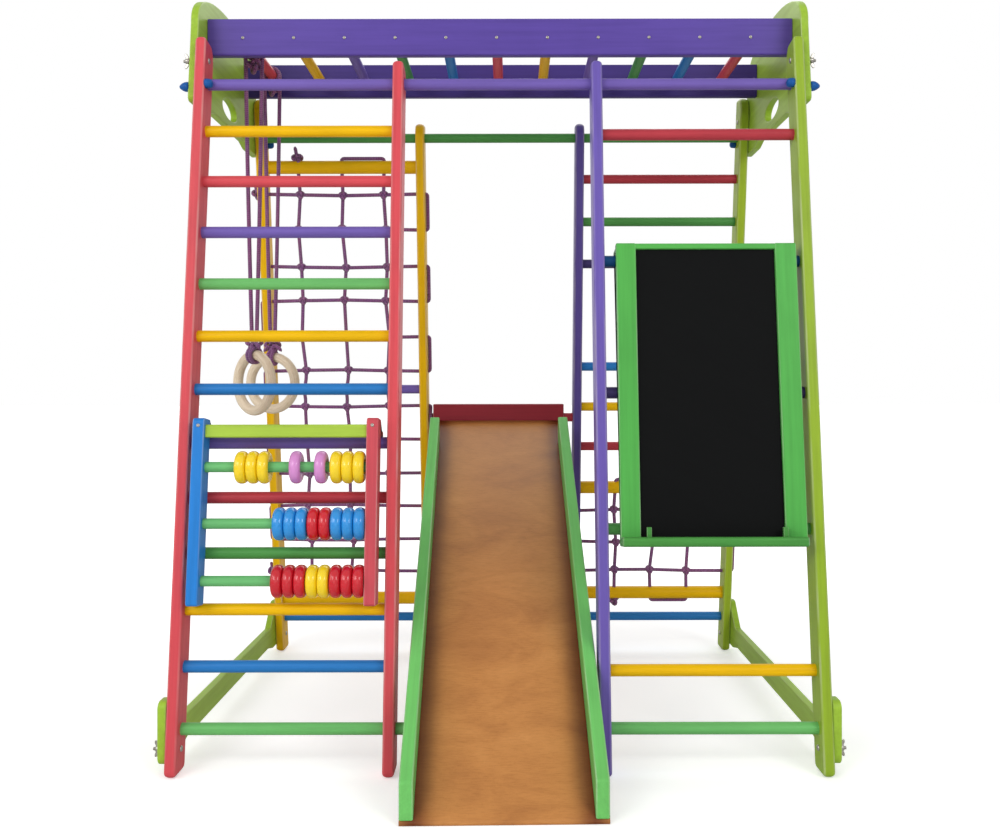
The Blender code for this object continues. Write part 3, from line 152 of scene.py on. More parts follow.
# Front rails: four boards of pine stood on edge and leaned back, two red, one purple and one lime.
# Their long edges and ends are rounded over, their feet are cut level, and they are sprayed in satin
# paint that still shows a little of the grain. Pieces of the gym's fixed frame ride on one body.
GYM_FRONT_Y = -0.4095133
RAIL_WIDTH = 0.024
RAIL_DEPTH = 0.062
RAIL_ROUND = 0.0048
RAIL_FOOT_ROUND = 0.016
RAIL_TOP_ROUND = 0.040
RAIL_END_ROUND = 0.0105
RAIL_FLAT_EDGE = 0.0009
RAIL_CUT_REACH = 0.3
RAIL_END_STATIONS = 15
RAIL_MIDDLE_STATIONS = 9
RAIL_END_GAP = 0.01
CORNER_STEPS = 6
OUTER_RAIL_X = 0.6615
INNER_LEFT_X = -0.224
INNER_RIGHT_X = 0.214
FRONT_LEAN = math.radians(7.75)
FRONT_FOOT_Y = GYM_FRONT_Y + RAIL_DEPTH / 2 / math.cos(FRONT_LEAN)
FRONT_OUTER_LENGTH = 1.575
FRONT_INNER_LENGTH = 1.518
RAIL_STREAK = (0.009, 0.009, 0.34)
SATIN = {"Specular IOR Level": 0.14}
RED = (216, 80, 88)
PURPLE = (110, 92, 176)
LIME = (150, 180, 50)


def colour_of(red, green, blue):
    """Screen values from 0 to 255 as a socket's linear colour: the screen's own curve is undone."""
    value = np.array((red, green, blue)) / 255.0
    linear = np.where(value <= 0.04045, value / 12.92, ((value + 0.055) / 1.055) ** 2.4)
    return (*linear.tolist(), 1.0)


def noise(name, place, scale, detail=2.0, roughness=0.5, distortion=0.0):
    """The row of a cloudy noise."""
    return name, "TexNoise", {"Vector": place, "Scale": scale, "Detail": detail,
                              "Roughness": roughness, "Distortion": distortion}


def mapped(name, scale, turn=(0.0, 0.0, 0.0), fed_by="place.Object", way="TEXTURE"):
    """The row of a node that stretches and turns a pattern."""
    return name, "Mapping", {"vector_type": way, "Vector": fed_by, "Rotation": turn, "Scale": scale}


def mixed(name, share, first, second, blend="MIX"):
    """The row of a mix of two colours."""
    return name, "Mix", {"data_type": "RGBA", "blend_type": blend, "Factor": share, "A": first, "B": second}


def bumped(height, strength, distance):
    """The row of the surface's bump, which is called bump."""
    return "bump", "Bump", {"Strength": strength, "Distance": distance, "Height": height}


def new_group(name, wants, gives, rows):
    """A shader group grown from rows, with named inputs and outputs. Each of them is a kind of socket,
    or a number for a value with that default."""
    group = bpy.data.node_groups.new(name, "ShaderNodeTree")
    for way, sockets in (("INPUT", wants), ("OUTPUT", gives)):
        for label, kind in sockets.items():
            number = not isinstance(kind, str)
            socket = group.interface.new_socket(
                name=label, in_out=way, socket_type="NodeSocket" + ("Float" if number else kind))
            if number:
                socket.default_value = kind
    grown(group, rows, wanted=group.nodes.new("NodeGroupInput"), given=group.nodes.new("NodeGroupOutput"))
    return group


# Paint over grain: long soft streaks darken the colour a little and raise the surface a little, and
# the "edge" mark of a board, 1 on its rounded edges, paints a pale highlight there, patchy by the clouds.
paint_group = new_group(
    "paint_over_grain",
    {"Colour": "Color", "Place": "Vector", "Depth": 0.35, "Sheen Low": 0.30, "Sheen High": 0.44},
    {"Colour": "Color", "Roughness": "Float", "Height": "Float"}, (
        noise("streaks", "wanted.Place", 1.0, 4.0, 0.6),
        PLACE,
        noise("clouds", "place.Object", 9.0),
        spread("streak_range", "streaks.Fac", (0.38, 0.75)),
        worked("streak_depth", "MULTIPLY", "streak_range.Result", "wanted.Depth"),
        mixed("darker", "streak_depth.Value", "wanted.Colour", (0.52, 0.50, 0.50, 1.0), "MULTIPLY"),
        spread("cloud_range", "clouds.Fac", (0.45, 0.80), (0.0, 0.5)),
        mixed("cloudy", "cloud_range.Result", "darker.Result", (0.80, 0.80, 0.82, 1.0), "MULTIPLY"),
        # Painted highlight: the rounded edges are mixed towards a pale colour.
        ("edge_mark", "Attribute", {"attribute_name": "edge"}),
        spread("edge_share", "clouds.Fac", (0.35, 0.65), (0.04, 0.26)),
        worked("edge_wear", "MULTIPLY", "edge_share.Result", "edge_mark.Fac"),
        mixed("paler", "edge_wear.Value", "cloudy.Result", (0.86, 0.80, 0.74, 1.0)),
        spread("sheen", "streaks.Fac", to=("wanted.Sheen Low", "wanted.Sheen High")),
        ("given", None, {"Colour": "paler.Result", "Roughness": "sheen.Result", "Height": "streaks.Fac"})))


def painted(name, colour, turn=(0.0, 0.0, 0.0), streak=(0.30, 0.010, 0.010), depth=0.35,
            raised=(0.22, 0.0008), sheen=(0.30, 0.44), gloss=SATIN):
    """Paint on wood whose grain runs along the streak's longest side, turned with the piece."""
    return bpy.data.materials.get(name) or new_finish(name, (
        PLACE,
        mapped("grain_place", streak, turn),
        ("paint", "Group", {"node_tree": paint_group, "Colour": colour_of(*colour), "Depth": depth,
                            "Place": "grain_place.Vector", "Sheen Low": sheen[0], "Sheen High": sheen[1]}),
        bumped("paint.Height", *raised),
        ("shader", None, {"Base Color": "paint.Colour", "Roughness": "paint.Roughness",
                          "Normal": "bump.Normal", **gloss})))


def unit(vectors):
    """Vectors divided by their own lengths."""
    vectors = np.asarray(vectors, float)
    return vectors / np.linalg.norm(vectors, axis=-1, keepdims=True)


def grid_faces(rows, columns, close_rows=False, start=0, capped=False):
    """Four-sided faces between neighbouring rows of a grid whose columns run round and meet again. A
    capped grid has its first and last row as faces too."""
    row = np.arange(rows if close_rows else rows - 1)[:, None]
    column = np.arange(columns)[None, :]
    next_row = (row + 1) % rows
    next_column = (column + 1) % columns
    corners = np.broadcast_arrays(
        row * columns + column, row * columns + next_column,
        next_row * columns + next_column, next_row * columns + column)
    ends = [list(range(columns)), list(range((rows - 1) * columns, rows * columns))]
    return (np.stack(corners, -1).reshape(-1, 4) + start).tolist() + (ends if capped else [])


def made(name, points, faces, finish, body, slot=None, stands_for=(), marks=()):
    """A finished piece: points and faces put in a mesh, equal points merged, faces turned outwards and
    shaded smooth. Marks are (name, values) kept on the points for the material."""
    mesh = bpy.data.meshes.new(name)
    mesh.from_pydata(np.asarray(points).tolist(), [], faces)
    for label, values in marks:
        flat = values.ndim == 1
        layer = mesh.attributes.new(label, "FLOAT" if flat else "FLOAT_VECTOR", "POINT")
        layer.data.foreach_set("value" if flat else "vector", values.astype(np.float32).ravel())
    work = bmesh.new()
    work.from_mesh(mesh)
    bmesh.ops.remove_doubles(work, verts=work.verts, dist=0.000001)
    bmesh.ops.recalc_face_normals(work, faces=work.faces)
    work.to_mesh(mesh)
    work.free()
    mesh.shade_smooth()
    mesh.materials.append(finish)
    piece = bpy.data.objects.new(name, mesh)
    bpy.context.collection.objects.link(piece)
    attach(piece, body)
    if stands_for:
        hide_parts(*stands_for)
    return piece


def leaned(points, lean, foot_y):
    """Points (x, across, up) of an upright frame leaned back about its foot: y = foot + across cos lean
    + up sin lean, z = up cos lean - across sin lean."""
    x, across, up = np.asarray(points, float).T
    return np.stack((x, foot_y + across * math.cos(lean) + up * math.sin(lean),
                     up * math.cos(lean) - across * math.sin(lean)), -1)


def eased(distance, radius):
    """How far a face has come in at a distance from an end rounded by a radius:
    radius - sqrt(radius^2 - (radius - distance)^2), and nothing past the radius."""
    left = np.clip(radius - distance, 0.0, radius)
    return radius - np.sqrt(radius ** 2 - left ** 2)


def rail(name, node, x, length, colour, slot, lean=FRONT_LEAN, foot_y=FRONT_FOOT_Y, end="front", inner=1.0):
    """A rail as one grid: at each station up the rail a rectangle with rounded corners, narrowed towards
    the ends by their own roundings, which are largest on the gym's inner side. The stations crowd to the
    ends as 1 - cos a, and near the foot they tilt with the slope, so that it stands flat."""
    turn = np.linspace(0.0, math.pi / 2, RAIL_END_STATIONS)
    foot_at = RAIL_FOOT_ROUND * (1 - np.cos(turn))
    top_at = length - RAIL_TOP_ROUND * (1 - np.cos(turn))[::-1]
    middle_at = np.linspace(RAIL_FOOT_ROUND + RAIL_END_GAP, length - RAIL_TOP_ROUND - RAIL_END_GAP,
                            RAIL_MIDDLE_STATIONS)
    up = np.concatenate((foot_at, middle_at, top_at))
    down = length - up
    low_in = np.maximum(eased(up, RAIL_FOOT_ROUND), eased(down, RAIL_FOOT_ROUND / 2))
    high_in = np.maximum(eased(up, RAIL_FOOT_ROUND), eased(down, RAIL_TOP_ROUND))
    half_x = RAIL_WIDTH / 2 - np.maximum(eased(up, RAIL_END_ROUND), eased(down, RAIL_END_ROUND))
    half_u = (RAIL_DEPTH - low_in - high_in) / 2
    middle_u = inner * (low_in - high_in) / 2
    radius = np.minimum(RAIL_ROUND, np.minimum(half_x, half_u))
    angle = np.arange(4)[:, None] * math.pi / 2 + np.linspace(0.0, math.pi / 2, CORNER_STEPS)[None, :]
    angle = np.concatenate((angle[:, :1], angle, angle[:, -1:]), 1)
    step = np.array((-1.0,) + (0.0,) * CORNER_STEPS + (1.0,))[None, :]
    sign_x = np.array((1.0, -1.0, -1.0, 1.0))[:, None]
    sign_u = np.array((1.0, 1.0, -1.0, -1.0))[:, None]
    room_x, room_u, radius, middle_u, up = (
        values[:, None, None] for values in (half_x - radius, half_u - radius, radius, middle_u, up))
    shift = step * np.minimum(RAIL_FLAT_EDGE, np.minimum(room_x, room_u) / 2)
    across = sign_x * room_x + radius * np.cos(angle) - shift * np.sin(angle)
    deep = sign_u * room_u + radius * np.sin(angle) + shift * np.cos(angle) + middle_u
    high = up + deep * math.tan(lean) * np.clip(1 - up / RAIL_CUT_REACH, 0.0, 1.0) ** 2
    points = np.stack(np.broadcast_arrays(x + across, deep, high), -1).reshape(-1, 3)
    # The edge mark, 1 on the rounded corners, carries the painted highlight of the paint.
    edge_highlight_mark = np.broadcast_to(np.abs(np.sin(2 * angle)), across.shape).ravel()
    made(name, leaned(points, lean, foot_y), grid_faces(len(up), angle.size, capped=True),
         painted(f"{slot}_{end}_rail", colour, (-lean, 0.0, 0.0), RAIL_STREAK), "frame", slot, (node,),
         (("edge", edge_highlight_mark),))


rail("front_rail_red_outer", "front_rail_left", -OUTER_RAIL_X, FRONT_OUTER_LENGTH, RED, "red")
rail("front_rail_red_inner", "front_rail_inner_left", INNER_LEFT_X, FRONT_INNER_LENGTH, RED, "red")
rail("front_rail_purple", "front_rail_inner_right", INNER_RIGHT_X, FRONT_INNER_LENGTH, PURPLE, "purple")
rail("front_rail_lime", "front_rail_right", OUTER_RAIL_X, FRONT_OUTER_LENGTH, LIME, "lime")

# Rear rails: four more boards of the same size, leaned forward to meet the front ones, two yellow,
# one deep purple and one lime. The two on the right are glued to their rungs as one ladder.
REAR_LEAN = math.radians(9.53)
BASE_DEPTH = 0.971
REAR_FOOT_Y = GYM_FRONT_Y + BASE_DEPTH + RAIL_DEPTH / 2 / math.cos(REAR_LEAN)
REAR_OUTER_LENGTH = 1.597
REAR_INNER_LENGTH = 1.531
REAR_YELLOW = (238, 186, 6)
REAR_PURPLE = (90, 74, 146)
REAR_LIME = (164, 190, 50)
for name, node, x, length, colour, slot in (
        ("yellow_outer", "rear_rail_left", -OUTER_RAIL_X, REAR_OUTER_LENGTH, REAR_YELLOW, "yellow"),
        ("yellow_inner", "rear_rail_inner_left", INNER_LEFT_X, REAR_INNER_LENGTH, REAR_YELLOW, "yellow"),
        ("purple", "rear_ladder_right", INNER_RIGHT_X, REAR_INNER_LENGTH, REAR_PURPLE, "purple"),
        ("lime", "rear_ladder_right", OUTER_RAIL_X, REAR_OUTER_LENGTH, REAR_LIME, "lime")):
    rail(f"rear_rail_{name}", node, x, length, colour, slot, -REAR_LEAN, REAR_FOOT_Y, "rear", -1.0)

# Rungs and bars: beech dowels turned to 25 mm and glued into the rails' sides, four of them long
# enough to run through the inner rails. They are painted like the rails, each in its own colour, and
# red ones that stand in shade are painted a darker red as painted shade.
HOLE_DEPTH = 0.003
GLUED_DEPTH = 0.002
RUNG_STREAK = (0.34, 0.010, 0.010)
YELLOW = (243, 190, 6)
# Crimson is the red paint made darker: painted shade for red rungs that stand in shade.
RUNG_PAINTS = {
    "red": (RED, "red"), "shaded_red": ((186, 62, 72), "red"), "yellow": (YELLOW, "yellow"),
    "green": ((112, 190, 108), "green"), "leaf": ((82, 152, 76), "dark_green"),
    "blue": ((45, 124, 196), "blue"), "navy": ((20, 78, 132), "blue"),
    "violet": ((116, 96, 176), "purple"), "plum": ((66, 55, 105), "dark_purple"),
}
BAR_SHADES = {
    "front_top_bar": "violet", "front_bottom_rung": "green", "rear_top_bar": "leaf",
    "rear_bottom_rung": "blue", "rear_left_rung": "violet", "slide_rung": "shaded_red",
}
LEFT_SHADES = (
    "blue", "yellow", "leaf", "shaded_red", "violet", "blue", "yellow", "green", "violet", "red", "yellow")
RIGHT_SHADES = ("yellow", "leaf", "plum", "navy", "shaded_red")


def turned(stations, radii, middle, way=(1.0, 0.0, 0.0), sides=32):
    """A turned piece: at each station along its way a circle of its radius, so a point is
    middle + way station + (side cos a + top sin a) radius. Its ends have radius 0."""
    way = unit(way)
    side = unit(np.cross((0.0, 0.0, 1.0) if abs(way[2]) < 0.9 else (1.0, 0.0, 0.0), way))
    top = np.cross(way, side)
    angle = np.linspace(0.0, 2 * math.pi, sides, endpoint=False)[None, :, None]
    spokes = side * np.cos(angle) + top * np.sin(angle)
    points = (np.asarray(middle) + way * np.asarray(stations)[:, None, None]
              + spokes * np.asarray(radii)[:, None, None])
    return points.reshape(-1, 3), grid_faces(len(stations), sides)


def dowel_profile(low, high, radius, edge=0.0015):
    """Stations and radii of a plain dowel whose two ends are eased."""
    stations = np.array((low, low, low + edge / 3, low + edge, low + 2 * edge,
                         high - 2 * edge, high - edge, high - edge / 3, high, high))
    radii = radius - np.array((radius, edge, edge / 3, 0.0, 0.0, 0.0, 0.0, edge / 3, edge, radius))
    return stations, radii


def dowel(name, node, low_x, high_x, radius, y, z, finish, slot):
    """A dowel along x, whose eased ends are sunk in the rails' holes."""
    made(name, *turned(*dowel_profile(low_x - HOLE_DEPTH, high_x + HOLE_DEPTH, radius), (0.0, y, z)),
         finish, "frame", slot, (node,))


def loose_dowel(name, node, finish, slot, radius=None):
    """A dowel along the middle of its node's box."""
    low, high = (np.array(corner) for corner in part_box(node))
    middle = (low + high) / 2
    dowel(name, node, low[0], high[0], radius or (high[2] - low[2]) / 2, middle[1], middle[2], finish, slot)


def rung_paint(shade, use="rung", streak=RUNG_STREAK):
    """A rung's paint and its slot."""
    colour, slot = RUNG_PAINTS[shade]
    return painted(f"{shade}_{use}", colour, streak=streak), slot


for node, shade in (*BAR_SHADES.items(),
                    *((f"left_rung_{number + 1:02d}", shade) for number, shade in enumerate(LEFT_SHADES)),
                    *((f"right_rung_{number + 1}", shade) for number, shade in enumerate(RIGHT_SHADES))):
    loose_dowel(f"{node}_{shade}", node, *rung_paint(shade))

# The right rear ladder's six rungs, which stay between its two rails. They are the same dowels, glued
# in with the rails and the two net bars.
RUNG_RADIUS = 0.0125
REAR_FIRST_RUNG = 0.0983
REAR_RUNG_PITCH = 0.1166
REAR_RIGHT_RUNGS = (
    (4.5, "shaded_red"), (5.5, "yellow"), (6.5, "blue"), (9.0, "plum"), (10.0, "leaf"), (11.0, "shaded_red"))
RIGHT_BAY = (INNER_RIGHT_X + RAIL_WIDTH / 2 - GLUED_DEPTH, OUTER_RAIL_X - RAIL_WIDTH / 2 + GLUED_DEPTH)


def rear_place(x, along, forward=0.0):
    """A point of the rear frame from its distance along the rails and how far it stands forward."""
    x, along, forward = np.broadcast_arrays(x, along, forward)
    points = np.stack((x, -forward, along), -1).reshape(-1, 3)
    return leaned(points, -REAR_LEAN, REAR_FOOT_Y).reshape(*x.shape, 3)


for number, (step, shade) in enumerate(REAR_RIGHT_RUNGS):
    _, y, z = rear_place(0.0, REAR_FIRST_RUNG + REAR_RUNG_PITCH * step)
    dowel(f"rear_right_rung_{number + 1}_{shade}", "rear_ladder_right", *RIGHT_BAY, RUNG_RADIUS, y, z,
          *rung_paint(shade))

# Net bars: four thick yellow dowels across the rear bays, which hold the nets stretched. The left
# bay's are loose bars between two rails, the right bay's are glued into the ladder.
NET_BAR_RADIUS = 0.018
RIGHT_NET_BARS_AT = (0.178, 0.500)
net_bar_paint = painted("yellow_net_bar", YELLOW, streak=RUNG_STREAK, depth=0.2)
for node in ("net_top_bar", "net_bottom_bar"):
    loose_dowel(f"{node}_yellow", node, net_bar_paint, "yellow", NET_BAR_RADIUS)
for name, along in zip(("bottom", "top"), RIGHT_NET_BARS_AT):
    _, y, z = rear_place(0.0, along)
    dowel(f"right_net_{name}_bar", "rear_ladder_right", *RIGHT_BAY, NET_BAR_RADIUS, y, z, net_bar_paint,
          "yellow")

# Rope nets: a plaited purple rope of 10 mm laced to and fro through the rails' holes in rows, a
# second one laced through the bars' holes in columns, and an overhand knot tied where they cross.
ROPE_RADIUS = 0.005
ROPE_CLEARANCE = 0.0006
ROPE_STEP = 0.0042
NET_ROPE_CORNER = 0.0075
NET_KNOT_SIZE = 0.0136
END_KNOT_SIZE = 0.0175
KNOT_SLACK = 0.0046
NET_FIRST_ROW = 0.245
LEFT_NET_PITCH = 0.0997
LEFT_NET_ROWS = 12
RIGHT_NET_PITCH = 0.092
RIGHT_NET_ROWS = 3
LEFT_NET_COLUMNS = (-0.565, -0.443, -0.325)
RIGHT_NET_COLUMNS = (0.330, 0.438, 0.545)
LEFT_NET_BARS_AT = (0.162, 1.414)
RAIL_REACH = RAIL_WIDTH / 2 + ROPE_RADIUS + ROPE_CLEARANCE
BAR_REACH = NET_BAR_RADIUS + ROPE_RADIUS + ROPE_CLEARANCE
ROPE_BOW = RUNG_RADIUS + ROPE_RADIUS + ROPE_CLEARANCE
BOW_ALONG = np.array((-1.6, -0.4, 0.4, 1.6))
BOW_FORWARD = np.array((0.0, 1.0, 1.0, 0.0))
UPRIGHT_WITHIN = 0.02
SLIDE_RUNG_AT = 0.7083
REAR_LEFT_RUNG_AT = 0.791
TAIL_OUT = 0.3
TAIL_ASIDE = np.array((-0.12, 0.0, 0.0))
TAIL_ALONG = np.array((0.0, 0.006, 0.015, 0.026, 0.031, 0.0325))[:, None]
TAIL_TAPER = np.array((0.9, 1.0, 1.0, 1.0, 0.6, 0.0))
REAR_OUT = np.array((0.0, -math.cos(REAR_LEAN), -math.sin(REAR_LEAN)))
REAR_UP = np.array((0.0, -math.sin(REAR_LEAN), math.cos(REAR_LEAN)))

# Plaited rope: two sets of strands that wind opposite ways and pass over each other, so the height
# is sin(n a + k s) sin(n a - k s) for the angle a round the rope and the distance s along it. The
# cord is matt, with painted shade in the creases between its strands, and a little fibre sheen at
# grazing angles.
LAY = ("lay", "Attribute", {"attribute_name": "lay"})
braid_group = new_group(
    "braid", {"Colour": "Color", "Valley": "Color", "Strands": 4.0, "Turns": 700.0},
    {"Colour": "Color", "Height": "Float", "Roughness": "Float"}, (
        LAY, PLACE,
        ("parts", "SeparateXYZ", {"Vector": "lay.Vector"}),
        worked("round_angle", "ARCTAN2", "parts.Y", "parts.X"),
        worked("strand_angle", "MULTIPLY", "round_angle.Value", "wanted.Strands"),
        worked("strand_turn", "MULTIPLY", "parts.Z", "wanted.Turns"),
        worked("ahead", "ADD", "strand_angle.Value", "strand_turn.Value"),
        worked("behind", "SUBTRACT", "strand_angle.Value", "strand_turn.Value"),
        worked("ahead_wave", "SINE", "ahead.Value"),
        worked("behind_wave", "SINE", "behind.Value"),
        worked("crossing", "MULTIPLY", "ahead_wave.Value", "behind_wave.Value"),
        noise("fibre", "place.Object", 900.0),
        noise("faded", "place.Object", 14.0),
        worked("height", "MULTIPLY_ADD", "fibre.Fac", 0.35, "crossing.Value"),
        spread("shade", "height.Value", (-0.75, 0.55)),
        # Painted shade: the creases between the strands take the darker valley colour.
        mixed("weave_colour", "shade.Result", "wanted.Valley", "wanted.Colour"),
        mixed("fade_colour", 0.35, "weave_colour.Result", "faded.Color", "SOFT_LIGHT"),
        spread("rough", "fibre.Fac", to=(0.66, 0.86)),
        ("given", None, {"Colour": "fade_colour.Result", "Height": "height.Value",
                         "Roughness": "rough.Result"})))
rope_finish = new_finish("purple_rope", (
    ("braid", "Group", {"node_tree": braid_group, "Colour": colour_of(158, 100, 150),
                        "Valley": colour_of(96, 52, 96)}),
    bumped("braid.Height", 0.9, 0.0011),
    ("shader", None, {"Base Color": "braid.Colour", "Roughness": "braid.Roughness", "Normal": "bump.Normal",
                      "Sheen Weight": 0.25, "Sheen Roughness": 0.5, "Specular IOR Level": 0.3})))


def evenly(path, step, closed=False):
    """The points of a path spaced evenly along it by about step, straight from one to the next."""
    path = np.concatenate((path, path[:1])) if closed else path
    gone = np.concatenate(([0.0], np.cumsum(np.linalg.norm(np.diff(path, axis=0), axis=1))))
    even = np.linspace(0.0, gone[-1], int(gone[-1] / step) + (0 if closed else 2), endpoint=not closed)
    return np.stack([np.interp(even, gone, places) for places in path.T], -1)


def smooth_path(points, corner, step):
    """A path whose corners are rounded by the curve (1-t)(1-t) a + 2t(1-t) p + t t b, with a and b at
    most corner away from each corner p, then spaced evenly by about step."""
    points = np.asarray(points, float)
    here = points[1:-1]
    back = points[:-2] - here
    on = points[2:] - here
    start = here + back * np.minimum(0.5, corner / np.linalg.norm(back, axis=1))[:, None]
    end = here + on * np.minimum(0.5, corner / np.linalg.norm(on, axis=1))[:, None]
    t = np.linspace(0.0, 1.0, 9)[None, :, None]
    bends = start[:, None] * (1 - t) ** 2 + here[:, None] * 2 * t * (1 - t) + end[:, None] * t ** 2
    return evenly(np.concatenate((points[:1], bends.reshape(-1, 3), points[-1:])), step)


def rope_skin(path, radius, upright, closed=False, sides=12):
    """A rope's skin: path + radius (side cos a + top sin a), where side is the upright vector made
    square to the path and top is square to both. Takes one path or a stack of equal ones, and keeps
    (cos a, sin a, metres along) as the lay that the plait follows."""
    path = np.asarray(path, float)
    stack = path.reshape(-1, *path.shape[-2:])
    if closed:
        way = np.roll(stack, -1, 1) - np.roll(stack, 1, 1)
        step = np.linalg.norm(np.roll(stack, -1, 1) - stack, axis=2)
        gone = np.cumsum(step, 1) - step
    else:
        way = np.gradient(stack, axis=1)
        gone = np.cumsum(np.linalg.norm(np.diff(stack, axis=1, prepend=stack[:, :1]), axis=2), 1)
    way = unit(way)
    upright = np.broadcast_to(np.asarray(upright, float), way.shape)
    side = unit(upright - way * (upright * way).sum(2, keepdims=True))
    top = np.cross(way, side)
    angle = np.linspace(0.0, 2 * math.pi, sides, endpoint=False)
    ring = side[:, :, None] * np.cos(angle)[:, None] + top[:, :, None] * np.sin(angle)[:, None]
    size = np.broadcast_to(np.asarray(radius, float), stack.shape[:2])[:, :, None, None]
    points = (stack[:, :, None] + ring * size).reshape(-1, 3)
    lay = np.stack(np.broadcast_arrays(np.cos(angle), np.sin(angle), gone[:, :, None]), -1).reshape(-1, 3)
    rows = stack.shape[1]
    faces = [face for number in range(len(stack))
             for face in grid_faces(rows, sides, closed, number * rows * sides)]
    return points, faces, lay


def roped(name, skins, body, node, finish=rope_finish, slot="rope"):
    """Several skins as one piece: their points one after another, and their faces counted on."""
    starts = np.cumsum([0] + [len(skin[0]) for skin in skins[:-1]])
    faces = [[corner + int(start) for corner in face]
             for start, skin in zip(starts, skins) for face in skin[1]]
    return made(name, np.concatenate([skin[0] for skin in skins]), faces, finish, body, slot, (node,),
                (("lay", np.concatenate([skin[2] for skin in skins])),))


def tied_knots(centres, right, up, size, rope, around=30):
    """Overhand knots: the closed trefoil (sin t + 2 sin 2t, cos t - 2 cos 2t, -2.2 sin 3t), whose reach
    of three is scaled to the size less the rope's own radius, laid along right and up."""
    t = np.linspace(0.0, 2 * math.pi, around, endpoint=False)[:, None]
    scale = (size - rope) / 3.0
    right = unit(right)
    up = unit(up)
    out = np.cross(right, up)
    trefoil = (right * (np.sin(t) + 2 * np.sin(2 * t)) + up * (np.cos(t) - 2 * np.cos(2 * t))
               - out * 2.2 * np.sin(3 * t)) * scale
    paths = np.asarray(centres, float).reshape(-1, 1, 3) + trefoil[None]
    return rope_skin(paths, rope, out, closed=True, sides=8)


def laced(runs, reach):
    """A rope's corners (x, along, forward) over parallel runs of points, every second one taken
    backwards: each run goes past both its ends by reach, and the rope crosses to the next run there."""
    turned_back = (np.arange(len(runs)) % 2 == 1)[:, None, None]
    runs = np.where(turned_back, runs[:, ::-1], runs)
    past = unit(runs[:, -1:] - runs[:, :1]) * reach
    return np.concatenate((runs[:, :1] - past, runs[:, 1:-1], runs[:, -1:] + past), 1).reshape(-1, 3)


def led_past(corners, rung_at):
    """The same corners, with four more in each upright stretch that crosses a rung, which lead it in
    front of the rung."""
    before = corners[:-1]
    after = corners[1:]
    crosses = np.flatnonzero((np.abs(before[:, 0] - after[:, 0]) < UPRIGHT_WITHIN)
                             & ((before[:, 1] - rung_at) * (after[:, 1] - rung_at) < 0))
    before = before[crosses]
    step = after[crosses] - before
    along = rung_at + np.sign(step[:, 1:2]) * BOW_ALONG * ROPE_BOW
    x = before[:, :1] + step[:, :1] * (along - before[:, 1:2]) / step[:, 1:2]
    forward = np.broadcast_to(BOW_FORWARD * ROPE_BOW, along.shape)
    bow = np.stack((x, along, forward), -1).reshape(-1, 3)
    return np.insert(corners, np.repeat(crosses + 1, len(BOW_ALONG)), bow, 0)


def rope_net(name, columns, left_x, right_x, rows_at, bars_at, from_top):
    """A net's three pieces: the rope in rows, the rope in columns, and the knots that tie them. The
    knots were tied by hand, so each is a few millimetres off its place, by the sines of its numbers."""
    columns = np.asarray(columns)
    post, row = np.meshgrid(np.arange(len(columns)), np.arange(len(rows_at)))
    crossings = np.stack((columns[post] + KNOT_SLACK * np.sin(5.1 * post + 8.7 * row),
                          rows_at[row] + KNOT_SLACK * np.sin(7.3 * post + 3.1 * row + 1.0),
                          0.0 * columns[post]), -1)
    edge = np.stack((0.0 * rows_at, rows_at, 0.0 * rows_at), -1)[:, None]
    rows = np.concatenate((edge + (left_x, 0.0, 0.0), crossings, edge + (right_x, 0.0, 0.0)), 1)
    bar = np.stack((columns, 0.0 * columns, 0.0 * columns), -1)[:, None]
    posts = np.concatenate((bar + (0.0, bars_at[0], 0.0), crossings.swapaxes(0, 1),
                            bar + (0.0, bars_at[1], 0.0)), 1)
    posts = posts[:, ::-1] if from_top else posts
    row_path, post_path = (
        smooth_path(led_past(laced(runs, reach), rung_at), NET_ROPE_CORNER, ROPE_STEP)
        for runs, reach, rung_at in ((rows, RAIL_REACH, SLIDE_RUNG_AT),
                                     (posts, BAR_REACH, REAR_LEFT_RUNG_AT)))
    for part, path in (("rows", row_path), ("columns", post_path)):
        roped(f"{name}_{part}", [rope_skin(rear_place(*path.T), ROPE_RADIUS, REAR_OUT)], "frame", name)
    middles = rear_place(*crossings.reshape(-1, 3).T)
    tips = rear_place(*np.concatenate((row_path[[0, -1]], post_path[[0, -1]])).T)
    tail_up = REAR_UP * TAIL_ALONG + REAR_OUT * TAIL_OUT * TAIL_ALONG + TAIL_ASIDE * TAIL_ALONG
    roped(f"{name}_knots", (
        tied_knots(middles, (1.0, 0.0, 0.0), REAR_UP, NET_KNOT_SIZE, ROPE_RADIUS * 1.2),
        tied_knots(tips, (1.0, 0.0, 0.0), REAR_UP, END_KNOT_SIZE, ROPE_RADIUS),
        rope_skin(tips[:, None] + tail_up[None], ROPE_RADIUS * TAIL_TAPER, (1.0, 0.0, 0.0))), "frame", name)


rope_net("left_net", LEFT_NET_COLUMNS, -OUTER_RAIL_X, INNER_LEFT_X,
         NET_FIRST_ROW + LEFT_NET_PITCH * np.arange(LEFT_NET_ROWS), LEFT_NET_BARS_AT, True)
rope_net("right_net", RIGHT_NET_COLUMNS, INNER_RIGHT_X, OUTER_RAIL_X,
         NET_FIRST_ROW + RIGHT_NET_PITCH * np.arange(RIGHT_NET_ROWS), RIGHT_NET_BARS_AT, False)

